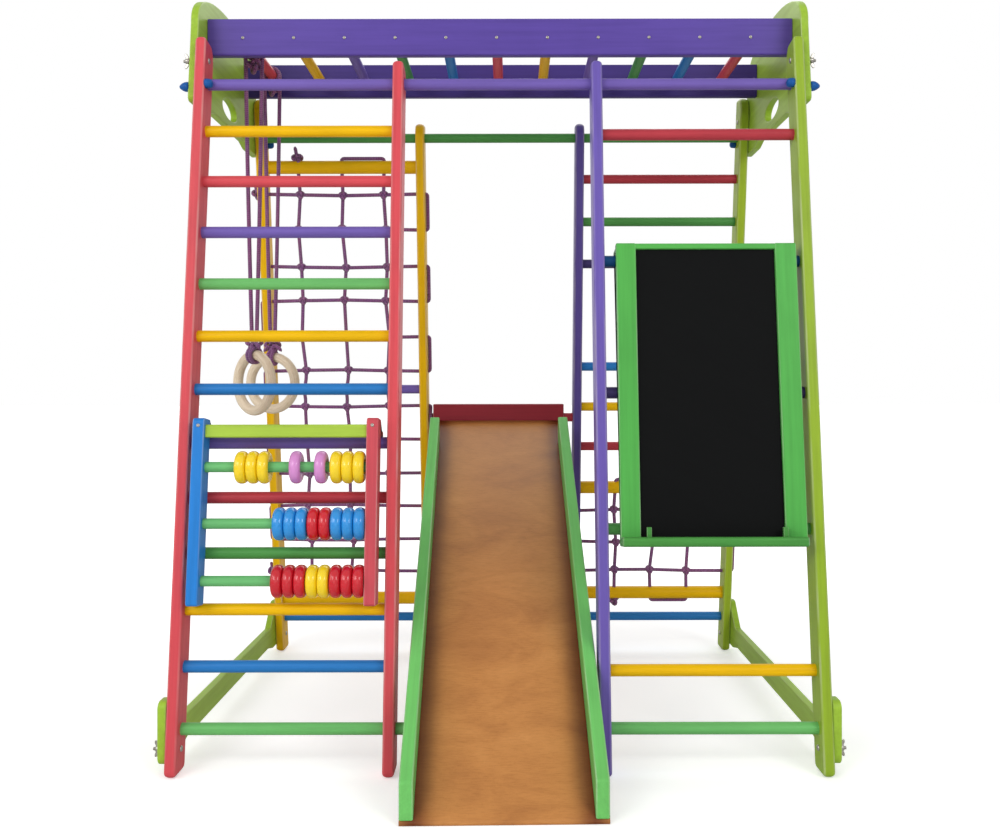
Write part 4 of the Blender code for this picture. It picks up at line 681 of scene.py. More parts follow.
# Overhead ladder: two deep purple beams on edge with eleven short rungs between them, each held by a
# screw through the beam's outer face. It lies across the tops of the leaning frames. The rear beam is
# painted darker than the front one as painted shade.
BEAM_HEIGHT = 0.085
BEAM_THICKNESS = 0.022
BEAM_ROUND = 0.0045
BEAM_CENTRE_Z = 1.592
FIT_GAP = 0.0003
BEAM_REACH = OUTER_RAIL_X + RAIL_WIDTH / 2 - FIT_GAP
FRONT_BEAM_Y = GYM_FRONT_Y + 0.311
REAR_BEAM_Y = GYM_FRONT_Y + 0.641
OVERHEAD_PITCH = 0.1168
OVERHEAD_SHIFT = -0.0075
OVERHEAD_SHADES = ("red", "yellow", "violet", "leaf", "blue") * 2 + ("red",)
FRONT_BEAM = (94, 74, 160)
# The rear beam is the front beam's paint made darker: painted shade.
SHADED_REAR_BEAM = (70, 54, 126)
overhead_x = OVERHEAD_SHIFT + OVERHEAD_PITCH * (np.arange(len(OVERHEAD_SHADES)) - 5)


def rounded_outline(corners, steps=5, shoulder=0.0012):
    """A closed outline from corners (across, up, radius), each cut by an arc. The arc's centre is on the
    corner's bisector, radius / sin(half its angle) away, and a point just before and after the arc, a
    third of what its side has free at most, keeps the straight sides flat."""
    corners = np.asarray(corners, float)
    here = corners[:, :2]
    radius = corners[:, 2:]
    back = np.roll(here, 1, 0) - here
    before = unit(back)
    after = unit(np.roll(here, -1, 0) - here)
    half = np.arccos(np.clip((before * after).sum(1, keepdims=True), -1.0, 1.0)) / 2
    reach = radius / np.tan(half)
    free = np.linalg.norm(back, axis=1, keepdims=True) - reach - np.roll(reach, 1, 0)
    lead_in = np.minimum(shoulder, free / 3)
    lead_out = np.minimum(shoulder, np.roll(free, -1, 0) / 3)
    centre = here + unit(before + after) * radius / np.sin(half)
    start = here + before * reach - centre
    end = here + after * reach - centre
    first = np.arctan2(start[:, 1:], start[:, :1])
    sweep = (np.arctan2(end[:, 1:], end[:, :1]) - first + math.pi) % (2 * math.pi) - math.pi
    angle = first + sweep * np.linspace(0.0, 1.0, steps + 1)[None, :]
    arc = centre[:, None, :] + radius[:, None, :] * np.stack((np.cos(angle), np.sin(angle)), -1)
    lead = (here + before * (reach + lead_in))[:, None, :]
    trail = (here + after * (reach + lead_out))[:, None, :]
    return np.concatenate((lead, arc, trail), 1).reshape(-1, 2)


def oblong(across, up, rounds, **more):
    """The rounded outline of a rectangle over two spans, with its corners' radii taken round from the
    one that is low in both spans."""
    return rounded_outline([(across[a], up[b], radius) for a, b, radius in
                            zip((0, 1, 1, 0), (0, 0, 1, 1), rounds)], **more)


def board(outline, low, high, edge, hole=None, steps=4, shoulder=0.0009):
    """A board from an outline (across, up) carried through its thickness from low to high. Towards each
    face the outline shrinks along its mitred normals by edge (1 - cos a) at a depth of edge (1 - sin a),
    a quarter circle. A hole has as many points as the outline and widens the same way. Returns points
    (thickness, across, up), faces and the mark that is 1 on the rounded edges."""
    def shrunk(loop, inset):
        side = unit(np.roll(loop, -1, 0) - loop)
        inward = np.stack((-side[:, 1], side[:, 0]), -1)
        last = np.roll(inward, 1, 0)
        mitre = (inward + last) / (1.0 + (inward * last).sum(1, keepdims=True))
        return loop[None] + mitre[None] * inset[:, None, None]

    across, up = outline.T
    if (across * np.roll(up, -1) - np.roll(across, -1) * up).sum() < 0:
        outline = outline[::-1]
        hole = None if hole is None else hole[::-1]
    turn = np.linspace(math.pi / 2, 0.0, steps + 1)
    depth = np.concatenate(([0.0], edge * (1 - np.sin(turn)), [edge + shoulder]))
    inset = np.concatenate(([edge + shoulder], edge * (1 - np.cos(turn)), [0.0]))
    # The edge mark, 1 on the rounded edges, carries the painted highlight of the paint.
    edge_highlight_mark = np.concatenate(([0.0], np.sin(2 * turn).clip(0.0), [0.0]))
    place = np.concatenate((low + depth, (high - depth)[::-1]))
    inset = np.concatenate((inset, inset[::-1]))
    edge_highlight_mark = np.concatenate((edge_highlight_mark, edge_highlight_mark[::-1]))
    loops = shrunk(outline, inset)
    if hole is not None:
        loops = np.concatenate((loops, shrunk(hole, -inset[::-1])))
        place = np.concatenate((place, place[::-1]))
        edge_highlight_mark = np.concatenate((edge_highlight_mark, edge_highlight_mark[::-1]))
    rows, columns = loops.shape[:2]
    thickness = np.broadcast_to(place[:, None, None], (rows, columns, 1))
    points = np.concatenate((thickness, loops), -1).reshape(-1, 3)
    faces = grid_faces(rows, columns, close_rows=hole is not None, capped=hole is None)
    return points, faces, np.repeat(edge_highlight_mark, columns)


def planked(name, outline, span, edge, finish, slot, node, placed=np.asarray, body="frame", **more):
    """A board as a finished piece, whose points a function puts in their place."""
    points, faces, edge_highlight_mark = board(outline, *span, edge, **more)
    made(name, placed(points), faces, finish, body, slot, (node,), (("edge", edge_highlight_mark),))


for name, y, colour, slot in (("front_beam", FRONT_BEAM_Y, FRONT_BEAM, "purple"),
                              ("rear_beam", REAR_BEAM_Y, SHADED_REAR_BEAM, "dark_purple")):
    outline = oblong((y - BEAM_THICKNESS / 2, y + BEAM_THICKNESS / 2),
                     (BEAM_CENTRE_Z - BEAM_HEIGHT / 2, BEAM_CENTRE_Z + BEAM_HEIGHT / 2), (BEAM_ROUND,) * 4)
    planked(name, outline, (-BEAM_REACH, BEAM_REACH), 0.002,
            painted(f"{name}_paint", colour, streak=(0.30, 0.012, 0.012)), slot, "overhead_ladder")
overhead_profile = dowel_profile(FRONT_BEAM_Y + BEAM_THICKNESS / 2 - GLUED_DEPTH,
                                 REAR_BEAM_Y - BEAM_THICKNESS / 2 + GLUED_DEPTH, RUNG_RADIUS)
for number, (x, shade) in enumerate(zip(overhead_x, OVERHEAD_SHADES)):
    finish, slot = rung_paint(shade, "overhead_rung", (0.010, 0.34, 0.010))
    made(f"overhead_rung_{number + 1:02d}_{shade}",
         *turned(*overhead_profile, (x, 0.0, BEAM_CENTRE_Z), (0.0, 1.0, 0.0)), finish, "frame", slot,
         ("overhead_ladder",))

# Screws: zinc-plated round heads with a driver socket, driven through each beam into the end of each
# overhead rung. Two more of them hold the bead counter's top board.
SCREW_BELOW_MIDDLE = 0.002
SCREW_STATIONS = np.array((-0.0020, -0.0020, 0.0003, 0.0009, 0.0014, 0.0017, 0.0018, 0.0004, 0.0003))
SCREW_RADII = np.array((0.0, 0.0022, 0.0038, 0.0036, 0.0030, 0.0023, 0.0019, 0.0016, 0.0))
zinc = new_finish("zinc_plate", (
    PLACE,
    noise("cloud", "place.Object", 160.0),
    mixed("tone", "cloud.Fac", colour_of(142, 138, 130), colour_of(188, 184, 176)),
    spread("rough", "cloud.Fac", to=(0.24, 0.46)),
    ("shader", None, {"Metallic": 1.0, "Base Color": "tone.Result", "Roughness": "rough.Result"})))


def screw_head(name, place, way):
    """A round screw head standing out of a face along a way, its shank just inside the wood."""
    made(name, *turned(SCREW_STATIONS, SCREW_RADII, place, way, 20), zinc, "frame")


for number, x in enumerate(overhead_x):
    for name, y, way in (("front", FRONT_BEAM_Y - BEAM_THICKNESS / 2, -1.0),
                         ("rear", REAR_BEAM_Y + BEAM_THICKNESS / 2, 1.0)):
        screw_head(f"{name}_beam_screw_{number + 1:02d}", (x, y, BEAM_CENTRE_Z - SCREW_BELOW_MIDDLE),
                   (0.0, way, 0.0))

# Top brackets: lime plates cut from thick board, one outside each pair of outer rails, with an arched
# top, a shallow arch below and a hand hole. They hold the two leaning frames together.
SIDES = (("left", -1.0), ("right", 1.0))
PLATE_INNER_X = 0.6738
PLATE_OUTER_X = 0.6918
PLATE_ROUND = 0.0026
PLATE_LIME = (160, 196, 62)
BRACKET_LOW = 1.421
BRACKET_SHOULDER = 1.600
BRACKET_TOP = 1.700
BRACKET_SETBACK = 0.020
BRACKET_LEG = 0.105
BRACKET_ARCH_LOW = 1.432
BRACKET_HOLE = (0.130, 0.048)
BRACKET_HOLE_Z = 1.476
BRACKET_SPACING = 0.004
plate_paint = painted("lime_plate", PLATE_LIME, streak=(0.012, 0.26, 0.012))


def rail_edge_y(z, lean, foot_y, outward):
    """The y of a leaning rail's outer edge at a height, moved in by the bracket's setback."""
    return foot_y + z * math.tan(lean) + outward * (RAIL_DEPTH / 2 - BRACKET_SETBACK)


def side_plates(name, ending, outline, hole=None):
    """The left and the right plate of one outline."""
    for side_name, side in SIDES:
        span = sorted((side * PLATE_INNER_X, side * PLATE_OUTER_X))
        planked(f"{name}_{side_name}_{ending}", outline, span, PLATE_ROUND, plate_paint, "lime",
                f"{name}_{side_name}", hole=hole)


(front_low, front_high), (rear_low, rear_high) = (
    [rail_edge_y(z, lean, foot_y, outward) for z in (BRACKET_LOW, BRACKET_SHOULDER)]
    for lean, foot_y, outward in ((FRONT_LEAN, FRONT_FOOT_Y, -1.0), (-REAR_LEAN, REAR_FOOT_Y, 1.0)))
bracket_middle = (front_high + rear_high) / 2
bracket_half = (rear_high - front_high) / 2
arch = np.linspace(0.0, math.pi, 61)
legs = rounded_outline((
    (front_high, BRACKET_SHOULDER, 0.002), (front_low, BRACKET_LOW, 0.010),
    (front_low + BRACKET_LEG, BRACKET_LOW, 0.020), (front_low + 1.4 * BRACKET_LEG, BRACKET_ARCH_LOW, 0.020),
    (rear_low - 1.4 * BRACKET_LEG, BRACKET_ARCH_LOW, 0.020), (rear_low - BRACKET_LEG, BRACKET_LOW, 0.020),
    (rear_low, BRACKET_LOW, 0.010), (rear_high, BRACKET_SHOULDER, 0.002)))[8:-8]
crown = np.stack((bracket_middle + bracket_half * np.cos(arch),
                  BRACKET_SHOULDER + (BRACKET_TOP - BRACKET_SHOULDER) * np.sin(arch).clip(0.0) ** 0.75), -1)
bracket_outline = evenly(np.concatenate((legs, crown)), BRACKET_SPACING, True)
spoke = unit(bracket_outline - (bracket_middle, BRACKET_HOLE_Z))
hole_reach = 1.0 / np.linalg.norm(spoke / (np.array(BRACKET_HOLE) / 2), axis=1, keepdims=True)
side_plates("top_bracket", "plate", bracket_outline,
            np.array((bracket_middle, BRACKET_HOLE_Z)) + spoke * hole_reach)

# Base boards: long lime boards on edge outside the rails' feet, shaped low between two tall ends, which
# tie the front and rear frames together at the floor.
BOARD_LOW = 0.034
BOARD_HIGH = 0.085
BOARD_END_LOW = 0.021
BOARD_END_HIGH = 0.150
BOARD_END = 0.080
BOARD_FLARE = 0.060
BOARD_ROUND = 0.016
BOARD_SETBACK = 0.018
board_front = FRONT_FOOT_Y - RAIL_DEPTH / 2 + BOARD_SETBACK
board_rear = REAR_FOOT_Y + RAIL_DEPTH / 2 - BOARD_SETBACK
under = ((0.0, BOARD_END_LOW), (BOARD_END, BOARD_END_LOW), (BOARD_END + BOARD_FLARE, BOARD_LOW))
over = ((0.0, BOARD_END_HIGH), (BOARD_END / 2, BOARD_END_HIGH), (BOARD_END + BOARD_FLARE / 2, BOARD_HIGH))
side_plates("base_board", "plank", rounded_outline(
    [(board_front + from_end, z, BOARD_ROUND) for from_end, z in under]
    + [(board_rear - from_end, z, BOARD_ROUND) for from_end, z in (*under[::-1], *over)]
    + [(board_front + from_end, z, BOARD_ROUND) for from_end, z in over[::-1]]))

# Bolts with wing nuts: a round-headed bolt goes out through each outer rail and its plate, top and
# bottom, and a wing nut holds it from outside, so that the gym comes apart by hand.
WING_SPAN = 0.017
WING_HALF = 0.0072
WING_MIDDLE = 0.0066
WING_HALF_WIDTH = 0.0040
WING_SLANT = 0.0026
WING_THICKNESS = 0.0024
BOLT_RADIUS = 0.0034
BOLT_FORWARD = 0.004
BOLT_FOOT_Z = 0.05
FRONT_BOLT_Z = 1.514
REAR_BOLT_Z = 1.513
BOLT_HEAD = ((-0.004, -0.004, 0.0, 0.0012, 0.0026, 0.0034, 0.0037),
             (0.0, 0.0036, 0.0066, 0.0062, 0.0046, 0.0022, 0.0))
NUT_AND_END = ((0.0, 0.0002, 0.009, 0.010, 0.0135, 0.0142, 0.0142),
               (0.0, 0.0074, 0.0058, BOLT_RADIUS, BOLT_RADIUS, BOLT_RADIUS - 0.0008, 0.0))
bolt_places = (
    ("front_top", FRONT_FOOT_Y + FRONT_BOLT_Z * math.tan(FRONT_LEAN) - BOLT_FORWARD, FRONT_BOLT_Z),
    ("rear_top", REAR_FOOT_Y - REAR_BOLT_Z * math.tan(REAR_LEAN) + BOLT_FORWARD, REAR_BOLT_Z),
    ("front_foot", FRONT_FOOT_Y + BOLT_FOOT_Z * math.tan(FRONT_LEAN), BOLT_FOOT_Z),
    ("rear_foot", REAR_FOOT_Y - BOLT_FOOT_Z * math.tan(REAR_LEAN), BOLT_FOOT_Z))
wing_turn = np.linspace(0.0, 2 * math.pi, 40, endpoint=False)
wing_outline = np.stack((
    WING_MIDDLE + WING_HALF_WIDTH * np.cos(wing_turn) + WING_SLANT * np.sin(wing_turn),
    WING_SPAN - WING_HALF + WING_HALF * np.sin(wing_turn)), -1)
wing, wing_faces, _ = board(wing_outline, -WING_THICKNESS / 2, WING_THICKNESS / 2, 0.0008, steps=2)
for side_name, side in SIDES:
    for spot, y, z in bolt_places:
        head_place = (side * (OUTER_RAIL_X - RAIL_WIDTH / 2), y, z)
        made(f"bolt_head_{side_name}_{spot}", *turned(*BOLT_HEAD, head_place, (-side, 0.0, 0.0), 24),
             zinc, "frame")
        points, faces = turned(*NUT_AND_END, (side * PLATE_OUTER_X, y, z), (side, 0.0, 0.0), 24)
        for flip in (1.0, -1.0):
            faces = faces + [[corner + len(points) for corner in face] for face in wing_faces]
            points = np.concatenate((points, np.stack(
                (side * (PLATE_OUTER_X + wing[:, 1]), y + wing[:, 0], z + flip * wing[:, 2]), -1)))
        made(f"wing_nut_{side_name}_{spot}", points, faces, zinc, "frame")

# Caps: two blue ones near the top of each outer rail, a round one on the rail's inner side, between the
# top bar and the rail's edge, and a pointed one on the bracket's plate.
INNER_CAP = ((0.6335, 0.6335, 0.6341, 0.6358, 0.6390, 0.6440, 0.6500, 0.6500),
             (0.0, 0.0034, 0.0060, 0.0084, 0.0100, 0.0105, 0.0105, 0.0))
OUTER_CAP = ((0.6910, 0.6910, 0.6926, 0.6960, 0.7005, 0.7050, 0.7088, 0.7112, 0.7122, 0.7122),
             (0.0, 0.0100, 0.0108, 0.0110, 0.0102, 0.0082, 0.0056, 0.0034, 0.0016, 0.0))
CAP_BLUE = (26, 88, 160)
CAPS = (("inner", INNER_CAP, 0.0215), ("outer", OUTER_CAP, 0.004))
CAP_PLACES = (
    ("front", FRONT_LEAN, FRONT_FOOT_Y, 1.0, 1.454 / math.cos(FRONT_LEAN)),
    ("rear", -REAR_LEAN, REAR_FOOT_Y, -1.0, 1.456 / math.cos(REAR_LEAN)))
cap_paint = painted("blue_cap", CAP_BLUE, streak=RUNG_STREAK)
for side_name, side in SIDES:
    for end_name, lean, foot_y, forward, along in CAP_PLACES:
        for cap_name, (stations, radii), ahead in CAPS:
            _, y, z = leaned(((0.0, -forward * ahead, along),), lean, foot_y)[0]
            skin = turned(side * np.array(stations), radii, (0.0, y, z), sides=28)
            made(f"cap_{end_name}_{side_name}_{cap_name}", *skin, cap_paint, "frame", "blue")

# Slide: a plywood deck between two green side boards, which hangs by its dark red head board from a
# rung of the rear frame and rests with its nose on the floor. It sits a little askew, and it turns
# about that rung when its foot is lifted.
SLIDE_X = -0.0114
SLIDE_TURN = math.radians(1.19)
SLIDE_WIDTH = 0.380
SLIDE_FOOT_Y = GYM_FRONT_Y - 0.208
SLIDE_NOSE = 0.0075
SLIDE_SHEET = 0.008
SLIDE_SIDE_THICKNESS = 0.026
SLIDE_SIDE_HEIGHT = 0.060
SLIDE_SIDE_END_Y = GYM_FRONT_Y + 0.775
SLIDE_GREEN = (118, 204, 108)
DECK_LEAD = 0.0015
DECK_EDGE = 0.001
DECK_MARGIN = 0.008
DECK_TONES = ((0.30, (178, 116, 60)), (0.50, (196, 132, 70)), (0.72, (208, 144, 80)))
SIDE_SHADOW_WIDTH = 0.030
HEAD_WIDTH = 0.374
HEAD_HEIGHT = 0.050
HEAD_DEPTH = 0.050
HEAD_BELOW_RUNG = 0.0115
HEAD_RED = (150, 42, 54)
GROOVE_CLEARANCE = 0.0004
SHEET_ABOVE_HEAD_EDGE = 0.0034
slide_rung = rear_place(0.0, SLIDE_RUNG_AT)
head_front = slide_rung[1] - HEAD_DEPTH / 2
head_low = slide_rung[2] - HEAD_BELOW_RUNG
deck_end = head_front - FIT_GAP
deck_slope = (head_low + SHEET_ABOVE_HEAD_EDGE - SLIDE_NOSE) / (deck_end - SLIDE_FOOT_Y)
deck_angle = math.atan(deck_slope)


def on_slide(points):
    """Points (x across, y, z) drawn straight are turned in plan about the upright through the hinge:
    x' = hinge + x cos t - (y - rung) sin t, y' = rung + x sin t + (y - rung) cos t."""
    x, y, z = np.asarray(points, float).T
    back = y - slide_rung[1]
    return np.stack((SLIDE_X + x * math.cos(SLIDE_TURN) - back * math.sin(SLIDE_TURN),
                     slide_rung[1] + x * math.sin(SLIDE_TURN) + back * math.cos(SLIDE_TURN), z), -1)


def deck_height(y):
    """The deck's top over the floor: the nose's height + slope times the way from the foot."""
    return SLIDE_NOSE + (y - SLIDE_FOOT_Y) * deck_slope


# The deck's varnished birch face: broad cloudy figure drawn out across the slide, finer cross grain
# and specks in it, and a painted shadow of the side boards, a darker band beside them.
deck_finish = new_finish("varnished_deck", (
    PLACE,
    mapped("figure_place", (0.20, 0.10, 0.10)),
    noise("figure", "figure_place.Vector", 1.0, 5.0, 0.62, 0.6),
    mapped("grain_place", (0.018, 0.0030, 0.0030)),
    noise("grain", "grain_place.Vector", 1.0, 3.0),
    noise("speck", "place.Object", 420.0),
    ("tone", "ValToRGB", {"Fac": "figure.Fac"}),
    spread("grain_share", "grain.Fac", (0.45, 0.75), (0.0, 0.22)),
    mixed("grained", "grain_share.Result", "tone.Color", colour_of(186, 160, 140), "MULTIPLY"),
    spread("speck_share", "speck.Fac", (0.55, 0.70), (0.0, 0.15)),
    mixed("specked", "speck_share.Result", "grained.Result", colour_of(205, 190, 175), "MULTIPLY"),
    # Painted shadow of the side boards: a darker band on the deck beside them.
    ("border", "Attribute", {"attribute_name": "border"}),
    mixed("edged", "border.Fac", "specked.Result", colour_of(150, 118, 96), "MULTIPLY"),
    spread("rough", "figure.Fac", to=(0.30, 0.50)),
    bumped("grain.Fac", 0.12, 0.0006),
    ("shader", None, {"Base Color": "edged.Result", "Roughness": "rough.Result", "Normal": "bump.Normal",
                      "Specular IOR Level": 0.20, "Coat Weight": 0.15, "Coat Roughness": 0.22})))
tone_ramp = next(node for node in deck_finish.node_tree.nodes if node.type == "VALTORGB").color_ramp
tone_ramp.elements.new(DECK_TONES[1][0])
for stop, (position, tone) in zip(tone_ramp.elements, DECK_TONES):
    stop.position = position
    stop.color = colour_of(*tone)

# The deck as a grid: its top is drawn over width and run, its underside follows 8 mm below and is cut
# level at the floor, and the rounded nose closes the front. The painted shadow mark is 1 beside the boards.
deck_half = SLIDE_WIDTH / 2
deck_drop = SLIDE_SHEET / math.cos(deck_angle)
share = np.linspace(0.0, 1.0, 61)
top_y = SLIDE_FOOT_Y + DECK_LEAD + (deck_end - SLIDE_FOOT_Y - DECK_LEAD) * share
top_z = deck_height(top_y)
under_z = np.maximum(0.0, top_z - deck_drop)
nose = np.array(((SLIDE_FOOT_Y + 0.0004, SLIDE_NOSE - 0.0012), (SLIDE_FOOT_Y, SLIDE_NOSE - 0.0032),
                 (SLIDE_FOOT_Y, 0.0014), (SLIDE_FOOT_Y + 0.0012, 0.0)))
round_deck = np.concatenate((np.stack((top_y, top_z), -1)[::-1], nose, np.stack((top_y, under_z), -1)[1:]))
across = np.concatenate(((-deck_half, -deck_half + DECK_EDGE),
                         np.linspace(-deck_half + DECK_MARGIN, deck_half - DECK_MARGIN, 39),
                         (deck_half - DECK_EDGE, deck_half)))
deck_points = np.stack(np.broadcast_arrays(across[:, None], round_deck[None, :, 0], round_deck[None, :, 1]),
                       -1).reshape(-1, 3)
# The mark of the painted side shadow: 1 at the side boards' inner faces, fading over its width.
border = np.exp(-((np.abs(deck_points[:, 0]) - (deck_half - SLIDE_SIDE_THICKNESS)) / SIDE_SHADOW_WIDTH) ** 2)
made("slide_deck", on_slide(deck_points), grid_faces(len(across), len(round_deck), capped=True),
     deck_finish, "slide", "sheet", ("slide_sheet",), (("border", border),))

# Its side boards stand on the deck along its run, green, with rounded edges and upright ends.
side_seat = FIT_GAP / math.cos(deck_angle)
side_rise = SLIDE_SIDE_HEIGHT / math.cos(deck_angle)
side_outline = rounded_outline((
    (SLIDE_FOOT_Y, SLIDE_NOSE + side_seat, 0.002),
    (SLIDE_SIDE_END_Y, deck_height(SLIDE_SIDE_END_Y) + side_seat, 0.003),
    (SLIDE_SIDE_END_Y, deck_height(SLIDE_SIDE_END_Y) + side_rise, 0.006),
    (SLIDE_FOOT_Y, deck_height(SLIDE_FOOT_Y) + side_rise, 0.010)))
side_paint = painted("green_slide_side", SLIDE_GREEN, (deck_angle, 0.0, 0.0), (0.010, 0.34, 0.010), 0.3)
for name, side in SIDES:
    span = sorted((side * deck_half, side * (deck_half - SLIDE_SIDE_THICKNESS)))
    planked(f"slide_side_board_{name}", side_outline, span, 0.0036, side_paint, "green",
            f"slide_side_{name}", on_slide, "slide")

# Its head board is one dark red block, grooved below to sit over the rung it hangs from.
askew = HEAD_WIDTH / 2 * math.sin(SLIDE_TURN)
groove_half = (RUNG_RADIUS + askew) / math.cos(SLIDE_TURN) + GROOVE_CLEARANCE
groove_top = slide_rung[2] + RUNG_RADIUS + GROOVE_CLEARANCE
head_outline = rounded_outline((
    (head_front, head_low, 0.003), (slide_rung[1] - groove_half, head_low, 0.0012),
    (slide_rung[1] - groove_half, groove_top, 0.0015), (slide_rung[1] + groove_half, groove_top, 0.0015),
    (slide_rung[1] + groove_half, head_low, 0.0012), (head_front + HEAD_DEPTH, head_low, 0.003),
    (head_front + HEAD_DEPTH, head_low + HEAD_HEIGHT, 0.005), (head_front, head_low + HEAD_HEIGHT, 0.005)),
    shoulder=0.0006)
planked("slide_head_block", head_outline, (-HEAD_WIDTH / 2, HEAD_WIDTH / 2), 0.0025,
        painted("dark_red_head", HEAD_RED, streak=(0.30, 0.010, 0.010), depth=0.5), "head_red",
        "slide_head_board", on_slide, "slide")

# Bead counter: a blue and a red upright, each hooked over a rung of the left ladder, a lime board
# between their tops and three green rods, all glued as one frame that hangs in front of the rungs.
FRONT_RUNG_PITCH = 0.1152
FRONT_FIRST_RUNG = 0.0893
LEFT_RUNG_LIFT = 0.0087
COUNTER_LEFT = -0.636
COUNTER_RIGHT = -0.2505
COUNTER_BAR_WIDTH = 0.025
COUNTER_BAR_DEPTH = 0.045
COUNTER_HOOK_AT = FRONT_FIRST_RUNG + LEFT_RUNG_LIFT + 5 * FRONT_RUNG_PITCH
COUNTER_ABOVE_RUNG = 0.0486
COUNTER_BELOW_RUNG = 0.3354
COUNTER_BOARD_LOW = 0.0082
COUNTER_BOARD_HEIGHT = 0.027
COUNTER_BOARD_DEPTH = 0.018
COUNTER_SCREW_UP = 0.024
COUNTER_ROD_RADIUS = 0.011
COUNTER_FIRST_ROD = 0.0528
COUNTER_ROD_PITCH = 0.1166
COUNTER_RODS_AT = COUNTER_HOOK_AT - COUNTER_FIRST_ROD - COUNTER_ROD_PITCH * np.arange(3)
HOOK_THICKNESS = 0.014
HOOK_DROP = 0.016
COUNTER_BLUE = (42, 130, 212)
COUNTER_RED = (207, 82, 92)
COUNTER_LIME = (170, 202, 72)
ROD_GREEN = (112, 190, 118)


def hung_outline(low, high, thickness, hook_at, top_round, foot_round):
    """A bar from the side in the front frame's own upright frame: in front of a rung, with a hook that
    goes over it and down behind. Forward is the low side."""
    rear = -RUNG_RADIUS - FIT_GAP
    over = hook_at + RUNG_RADIUS + FIT_GAP
    back = RUNG_RADIUS + FIT_GAP
    return rounded_outline((
        (rear - thickness, low, foot_round), (rear, low, foot_round), (rear, over, 0.0012),
        (back, over, 0.0012), (back, over - HOOK_DROP, 0.003),
        (back + HOOK_THICKNESS, over - HOOK_DROP, 0.003),
        (back + HOOK_THICKNESS, over + HOOK_THICKNESS, 0.005),
        (rear, over + HOOK_THICKNESS, 0.0012), (rear, high, 0.003), (rear - thickness, high, top_round)),
        shoulder=0.0006)


def in_front(points):
    """Points of the front frame leaned with it."""
    return leaned(points, FRONT_LEAN, FRONT_FOOT_Y)


counter_depth = -RUNG_RADIUS - FIT_GAP - COUNTER_BAR_DEPTH / 2
counter_outline = hung_outline(COUNTER_HOOK_AT - COUNTER_BELOW_RUNG, COUNTER_HOOK_AT + COUNTER_ABOVE_RUNG,
                               COUNTER_BAR_DEPTH, COUNTER_HOOK_AT, 0.010, 0.006)
board_up = COUNTER_HOOK_AT + COUNTER_BOARD_LOW
for name, low, colour, slot in (("left", COUNTER_LEFT, COUNTER_BLUE, "blue"),
                                ("right", COUNTER_RIGHT - COUNTER_BAR_WIDTH, COUNTER_RED, "red")):
    planked(f"counter_upright_{name}", counter_outline, (low, low + COUNTER_BAR_WIDTH), 0.0030,
            painted(f"{slot}_counter_upright", colour, (-FRONT_LEAN, 0.0, 0.0), RAIL_STREAK), slot,
            "counter_frame", in_front)
counter_span = (COUNTER_LEFT + COUNTER_BAR_WIDTH - GLUED_DEPTH,
                COUNTER_RIGHT - COUNTER_BAR_WIDTH + GLUED_DEPTH)
board_out = counter_depth - COUNTER_BAR_DEPTH / 2 + COUNTER_BOARD_DEPTH / 2
planked("counter_top_board",
        oblong((board_out, board_out + COUNTER_BOARD_DEPTH), (board_up, board_up + COUNTER_BOARD_HEIGHT),
               (0.003, 0.003, 0.004, 0.004)), counter_span, 0.001,
        painted("lime_counter_board", COUNTER_LIME, streak=(0.22, 0.010, 0.010)), "lime", "counter_frame",
        in_front)
rod_paint = painted("green_counter_rod", ROD_GREEN, streak=(0.22, 0.008, 0.008))
rod_profile = dowel_profile(*counter_span, COUNTER_ROD_RADIUS)
for number, along in enumerate(COUNTER_RODS_AT):
    _, y, z = in_front(((0.0, counter_depth, along),))[0]
    made(f"counter_rod_{number + 1}", *turned(*rod_profile, (0.0, y, z)), rod_paint, "frame", "green",
         ("counter_frame",))
for name, low in (("left", COUNTER_LEFT), ("right", COUNTER_RIGHT - COUNTER_BAR_WIDTH)):
    place = in_front(((low + COUNTER_BAR_WIDTH / 2, counter_depth - COUNTER_BAR_DEPTH / 2,
                       board_up + COUNTER_SCREW_UP),))[0]
    screw_head(f"counter_screw_{name}", place, (0.0, -math.cos(FRONT_LEAN), math.sin(FRONT_LEAN)))

# Beads: rounded rings of turned wood in thick gloss lacquer, threaded on the rods. Beads of one colour
# that lie together slide as one group.
BEAD_RADIUS = 0.034
BEAD_STEP = 0.0234
BEAD_HOLE = 0.012
BEAD_GAP = 0.0001
BEAD_PLUMP = 0.86
LACQUER = {"Specular IOR Level": 0.25, "Coat Weight": 0.5, "Coat Roughness": 0.06}
BEAD_PAINTS = {
    "yellow": ((252, 216, 28), "gloss_yellow"), "pink": ((216, 142, 206), "pink"),
    "red": ((206, 24, 40), "gloss_red"), "blue": ((40, 146, 222), "gloss_blue"),
}
BEAD_GROUPS = (
    ("beads_1_yellow_left", 3, "yellow"), ("bead_1_pink_left", 1, "pink"), ("bead_1_pink_right", 1, "pink"),
    ("beads_1_yellow_right", 3, "yellow"), ("beads_2_blue_right", 3, "blue"), ("beads_2_red", 2, "red"),
    ("beads_2_blue_left", 3, "blue"), ("beads_3_red_right", 3, "red"), ("beads_3_yellow", 2, "yellow"),
    ("beads_3_red_left", 3, "red"))


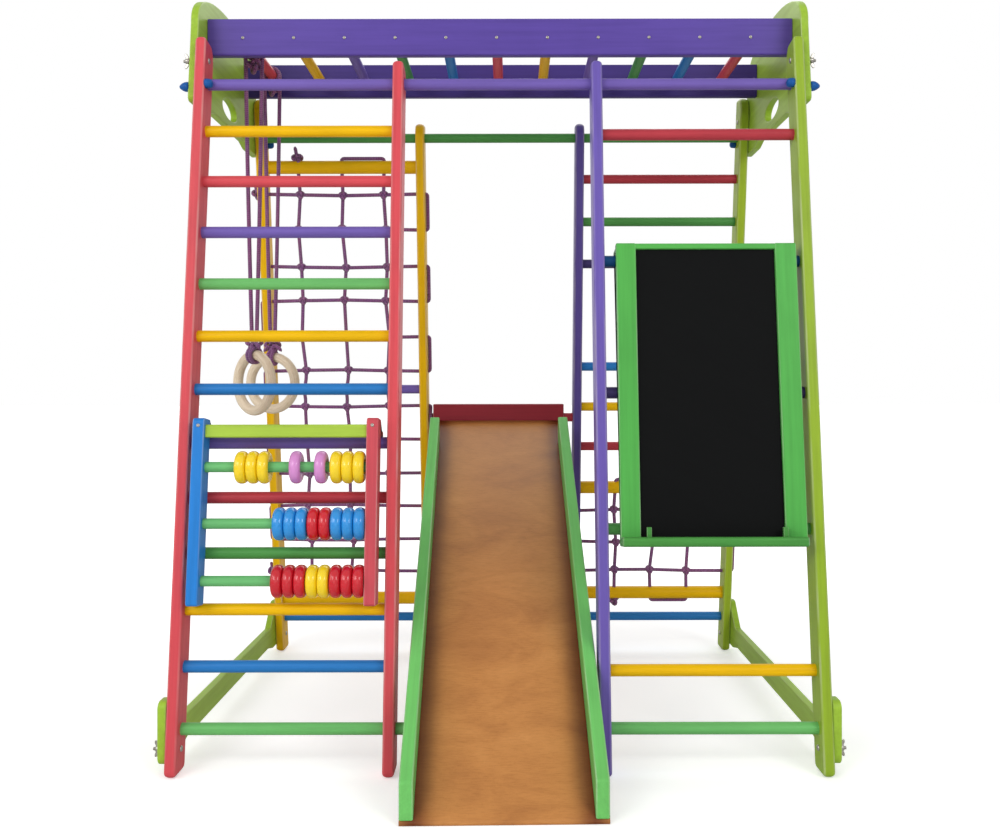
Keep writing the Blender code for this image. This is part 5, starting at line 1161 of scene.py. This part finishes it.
def beads(name, count, shade, around=48, over=28):
    """A group of rings: the section x = half c, r = middle + wall s, with c and s the cosine and sine of
    a turn drawn a little towards a square, swept round the rod for each bead in the row."""
    low, high = (np.array(corner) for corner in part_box(name))
    centre = (low + high) / 2
    turn = np.linspace(0.0, 2 * math.pi, over, endpoint=False)
    sweep = np.linspace(0.0, 2 * math.pi, around, endpoint=False)[None, :]
    x = (BEAD_STEP / 2 - BEAD_GAP) * np.sign(np.cos(turn)) * np.abs(np.cos(turn)) ** BEAD_PLUMP
    wall = (BEAD_RADIUS - BEAD_HOLE) / 2
    radius = BEAD_HOLE + wall + wall * np.sign(np.sin(turn)) * np.abs(np.sin(turn)) ** BEAD_PLUMP
    one = np.stack(np.broadcast_arrays(x[:, None], radius[:, None] * np.cos(sweep),
                                       radius[:, None] * np.sin(sweep)), -1).reshape(-1, 3)
    shifts = BEAD_STEP * (np.arange(count) - (count - 1) / 2)
    points = one[None] + (centre + np.stack((shifts, 0.0 * shifts, 0.0 * shifts), -1))[:, None]
    faces = [face for number in range(count) for face in grid_faces(over, around, True, number * len(one))]
    colour, slot = BEAD_PAINTS[shade]
    finish = painted(f"{shade}_lacquer", colour, streak=(0.004, 0.05, 0.05), depth=0.14,
                     raised=(0.06, 0.0004), sheen=(0.16, 0.30), gloss=LACQUER)
    made(f"{name}_rings", points.reshape(-1, 3), faces, finish, f"{name}_body", slot, (name,))


for name, count, shade in BEAD_GROUPS:
    beads(name, count, shade)

# Blackboard: a black panel held in a green frame of two broad stiles and two thin rails, hooked over a
# rung of the right ladder, with a tray for chalk along its foot.
SCREEN_LEFT = 0.250
SCREEN_RIGHT = 0.631
SCREEN_HOOK_AT = FRONT_FIRST_RUNG + 8.5 * FRONT_RUNG_PITCH
SCREEN_BELOW_RUNG = 0.6123
SCREEN_ABOVE_RUNG = 0.0326
SCREEN_LOW = SCREEN_HOOK_AT - SCREEN_BELOW_RUNG
SCREEN_HIGH = SCREEN_HOOK_AT + SCREEN_ABOVE_RUNG
SCREEN_THICKNESS = 0.020
SCREEN_STILES = (("left", SCREEN_LEFT, 0.0425), ("right", SCREEN_RIGHT - 0.040, 0.046))
SCREEN_RAIL = 0.012
SCREEN_STEP = 0.001
SCREEN_PANEL = 0.004
SCREEN_GREEN = (86, 176, 80)
screen_front = -RUNG_RADIUS - FIT_GAP - SCREEN_THICKNESS
screen_outline = hung_outline(SCREEN_LOW, SCREEN_HIGH, SCREEN_THICKNESS, SCREEN_HOOK_AT, 0.004, 0.003)
stile_paint = painted("green_screen_stile", SCREEN_GREEN, (-FRONT_LEAN, 0.0, 0.0), RAIL_STREAK)
for name, low, width in SCREEN_STILES:
    planked(f"screen_stile_{name}", screen_outline, (low, low + width), 0.0028, stile_paint, "green",
            "blackboard_frame", in_front)
clear = (SCREEN_STILES[0][1] + SCREEN_STILES[0][2], SCREEN_STILES[1][1])
screen_rail_paint = painted("green_screen_rail", SCREEN_GREEN, streak=(0.22, 0.008, 0.008))
for name, low in (("top", SCREEN_HIGH - SCREEN_STEP - SCREEN_RAIL), ("bottom", SCREEN_LOW + SCREEN_STEP)):
    thin = oblong((screen_front + SCREEN_STEP, screen_front + SCREEN_THICKNESS - SCREEN_STEP),
                  (low, low + SCREEN_RAIL), (0.002,) * 4, shoulder=0.0006)
    planked(f"screen_rail_{name}", thin, (clear[0] - GLUED_DEPTH, clear[1] + GLUED_DEPTH), 0.0008,
            screen_rail_paint, "green", "blackboard_frame", in_front)

# The panel is matt black with a faint haze of wiped chalk in slanting strokes.
PANEL_ROUND = 0.0004
slate = new_finish("black_panel", (
    PLACE,
    mapped("wipe", (0.30, 0.06, 0.06), (-FRONT_LEAN, 0.5, 0.0)),
    noise("haze", "wipe.Vector", 1.0, 6.0, 0.65),
    noise("grit", "place.Object", 900.0),
    mixed("tone", "haze.Fac", colour_of(10, 10, 11), colour_of(19, 20, 20)),
    spread("rough", "haze.Fac", to=(0.52, 0.72)),
    bumped("grit.Fac", 0.12, 0.0003),
    ("shader", None, {"Base Color": "tone.Result", "Roughness": "rough.Result", "Normal": "bump.Normal",
                      "Specular IOR Level": 0.05})))
panel_middle = screen_front + SCREEN_THICKNESS / 2
panel_outline = oblong((panel_middle - SCREEN_PANEL / 2, panel_middle + SCREEN_PANEL / 2),
                       (SCREEN_LOW + SCREEN_STEP + SCREEN_RAIL + FIT_GAP,
                        SCREEN_HIGH - SCREEN_STEP - SCREEN_RAIL - FIT_GAP),
                       (PANEL_ROUND,) * 4, steps=2, shoulder=PANEL_ROUND / 2)
points, faces, _ = board(panel_outline, clear[0] + FIT_GAP, clear[1] - FIT_GAP, PANEL_ROUND, steps=2,
                         shoulder=PANEL_ROUND / 2)
made("chalk_panel", in_front(points), faces, slate, "frame", "black", ("blackboard_panel",))

# The tray is a green ledge with a rounded nose, and two short square pegs stand at its back corners.
TRAY_HEIGHT = 0.020
TRAY_DEPTH = 0.034
TRAY_GREEN = (76, 150, 68)
PEG_WIDTH = 0.010
PEG_TOP = 0.020
tray_back = screen_front - FIT_GAP
tray_paint = painted("green_tray", TRAY_GREEN, streak=(0.22, 0.010, 0.010), depth=0.45)
tray_outline = oblong((tray_back - TRAY_DEPTH, tray_back), (SCREEN_LOW, SCREEN_LOW + TRAY_HEIGHT),
                      (0.006, 0.0015, 0.0015, 0.006))
planked("chalk_tray", tray_outline, (SCREEN_LEFT, SCREEN_RIGHT), 0.004, tray_paint, "green",
        "blackboard_tray", in_front)
peg_y = tray_back - PEG_WIDTH
peg_outline = oblong((peg_y - PEG_WIDTH / 2, peg_y + PEG_WIDTH / 2),
                     (SCREEN_LOW + TRAY_HEIGHT - GLUED_DEPTH, SCREEN_LOW + TRAY_HEIGHT + PEG_TOP),
                     (0.001, 0.001, 0.002, 0.002), shoulder=0.0004)
for name, x in (("left", clear[0] + 1.5 * PEG_WIDTH), ("right", clear[1] - 0.3 * PEG_WIDTH)):
    planked(f"tray_peg_{name}", peg_outline, (x - PEG_WIDTH / 2, x + PEG_WIDTH / 2), 0.0012, tray_paint,
            "green", "blackboard_tray", in_front, shoulder=0.0004)

# Rings: two rings of steam-bent beech, oiled and not painted, each hung by a plaited rope that is tied
# round its limb, goes up, once and a half round the first overhead rung, and comes down to the knot. A
# second knot under the rung keeps the turns together.
RING_MIDDLE = 0.067
RING_SECTION = 0.012
RING_CENTRE_Z = 0.797
RING_PLACES = (
    ("front", GYM_FRONT_Y + 0.400, math.radians(-40.8)), ("rear", GYM_FRONT_Y + 0.585, math.radians(-20.9)))
RING_KNOT_SIZE = 0.0215
RING_KNOT_RISE = 0.0133
RUNG_KNOT_DROP = 0.0345
RUNG_KNOT_SHARE = 0.94
RING_KNOT_LIFT = 0.004
RING_TAIL_START = 0.006
RING_TAIL_REACH = 0.026
RING_TAIL_FALL = 0.016
COIL_CLEARANCE = 0.0005
STRAND_SWAY = 0.0012
WRAP_STEPS = 24
TIE_RISE = 0.0107
TIE_CLEARANCE = 0.0008
STRAND_TAPER = np.array((1.0, 1.0, 1.0, 1.0, 1.0, 1.0, 1.0, 0.75, 0.0))
UP = np.array((0.0, 0.0, 1.0))
ring_x = float(overhead_x[0])

# Oiled beech: pale wood whose fine flecks and grain run round the ring with its own lay.
beech = new_finish("oiled_beech", (
    LAY,
    mapped("grain_place", (4.0, 4.0, 18.0), fed_by="lay.Vector", way="POINT"),
    noise("grain", "grain_place.Vector", 1.6, 5.0),
    mapped("fleck_place", (26.0, 26.0, 260.0), fed_by="lay.Vector", way="POINT"),
    noise("flecks", "fleck_place.Vector", 1.0),
    spread("grain_share", "grain.Fac", (0.32, 0.68)),
    mixed("tone", "grain_share.Result", colour_of(214, 192, 160), colour_of(238, 224, 200)),
    spread("fleck_share", "flecks.Fac", (0.56, 0.72), (0.0, 0.6)),
    mixed("flecked", "fleck_share.Result", "tone.Result", colour_of(190, 160, 130), "MULTIPLY"),
    spread("rough", "grain.Fac", to=(0.38, 0.54)),
    bumped("flecks.Fac", 0.2, 0.0003),
    ("shader", None, {"Base Color": "flecked.Result", "Roughness": "rough.Result",
                      "Normal": "bump.Normal"})))


def ring_rope_path(y, knot):
    """Up from the knot, round the rung and down again: a strand, then the coil (w cos a, drift, w sin a)
    over one and a half turns, then the other strand beside it."""
    wrap = RUNG_RADIUS + ROPE_RADIUS + COIL_CLEARANCE
    turn = np.linspace(0.0, 3.0 * math.pi, int(1.5 * WRAP_STEPS) + 1)
    drift = (ROPE_RADIUS * 2 + ROPE_CLEARANCE) * (turn / (2 * math.pi) - 0.75)
    coil = np.stack((ring_x - wrap * np.cos(turn), y + drift, BEAM_CENTRE_Z + wrap * np.sin(turn)), -1)
    rise = np.linspace(0.0, 1.0, 31)[:-1, None]
    sway = np.sin(math.pi * rise) * np.array(((STRAND_SWAY, 0.0, 0.0),))
    side = np.array((ROPE_RADIUS + FIT_GAP, 0.0, 0.0))
    going = (knot - side) * (1 - rise) + coil[0] * rise - sway
    coming = (knot + side) * (1 - rise) + coil[-1] * rise + sway
    return np.concatenate((going, coil, coming[::-1]))


for name, y, turn in RING_PLACES:
    body = f"ring_{name}_swing"
    rope_node = f"ring_rope_{name}"
    along = np.array((math.cos(turn), math.sin(turn), 0.0))
    out = np.array((-math.sin(turn), math.cos(turn), 0.0))
    centre = np.array((ring_x, y, RING_CENTRE_Z))
    round_ring = np.linspace(0.0, 2 * math.pi, 96, endpoint=False)[:, None]
    limb = centre + RING_MIDDLE * (along * np.sin(round_ring) + UP * np.cos(round_ring))
    roped(f"ring_{name}_beech", [rope_skin(limb, RING_SECTION, out, closed=True, sides=24)], body,
          f"ring_{name}", beech, "beech")
    limb_top = centre + UP * RING_MIDDLE
    knot = limb_top + UP * (RING_SECTION + RING_KNOT_RISE)
    path = ring_rope_path(y, knot)
    length = float(np.linalg.norm(np.diff(path, axis=0), axis=1).sum())
    thick = ROPE_RADIUS * np.concatenate(((0.2,), np.ones(len(path) - 2), (0.2,)))
    rope = roped(f"ring_{name}_rope", [rope_skin(path, thick, (0.0, 1.0, 0.0))], body, rope_node)
    wind = np.linspace(0.0, 4.0 * math.pi, 49)[:, None]
    tie_radius = RING_SECTION + ROPE_RADIUS + TIE_CLEARANCE
    tie_path = (limb_top + along * TIE_RISE * (wind / (2 * math.pi) - 1.0)
                + tie_radius * (out * np.sin(wind) + UP * np.cos(wind)))
    tie = roped(f"ring_{name}_tie", [rope_skin(tie_path, ROPE_RADIUS, along)], body, rope_node)
    # The two tails leave the knot on opposite sides and sink by the square of the way along them.
    bend = np.linspace(0.0, 1.0, len(STRAND_TAPER))[:, None]
    tails = [knot + side * along * (RING_TAIL_START + RING_TAIL_REACH * bend)
             + UP * (RING_KNOT_LIFT - RING_TAIL_FALL * bend ** 2) - out * side * RING_TAIL_START
             for side in (1.0, -1.0)]
    knotted = roped(f"ring_{name}_knot", (
        tied_knots(knot + UP * RING_KNOT_LIFT, along, UP, RING_KNOT_SIZE, ROPE_RADIUS, 48),
        tied_knots((ring_x, y, BEAM_CENTRE_Z - RUNG_KNOT_DROP), (1.0, 0.0, 0.0), UP,
                   RING_KNOT_SIZE * RUNG_KNOT_SHARE, ROPE_RADIUS, 48),
        *(rope_skin(tail, ROPE_RADIUS * STRAND_TAPER, out) for tail in tails)), body, rope_node)

bpy.context.scene.view_settings.view_transform = "Standard"
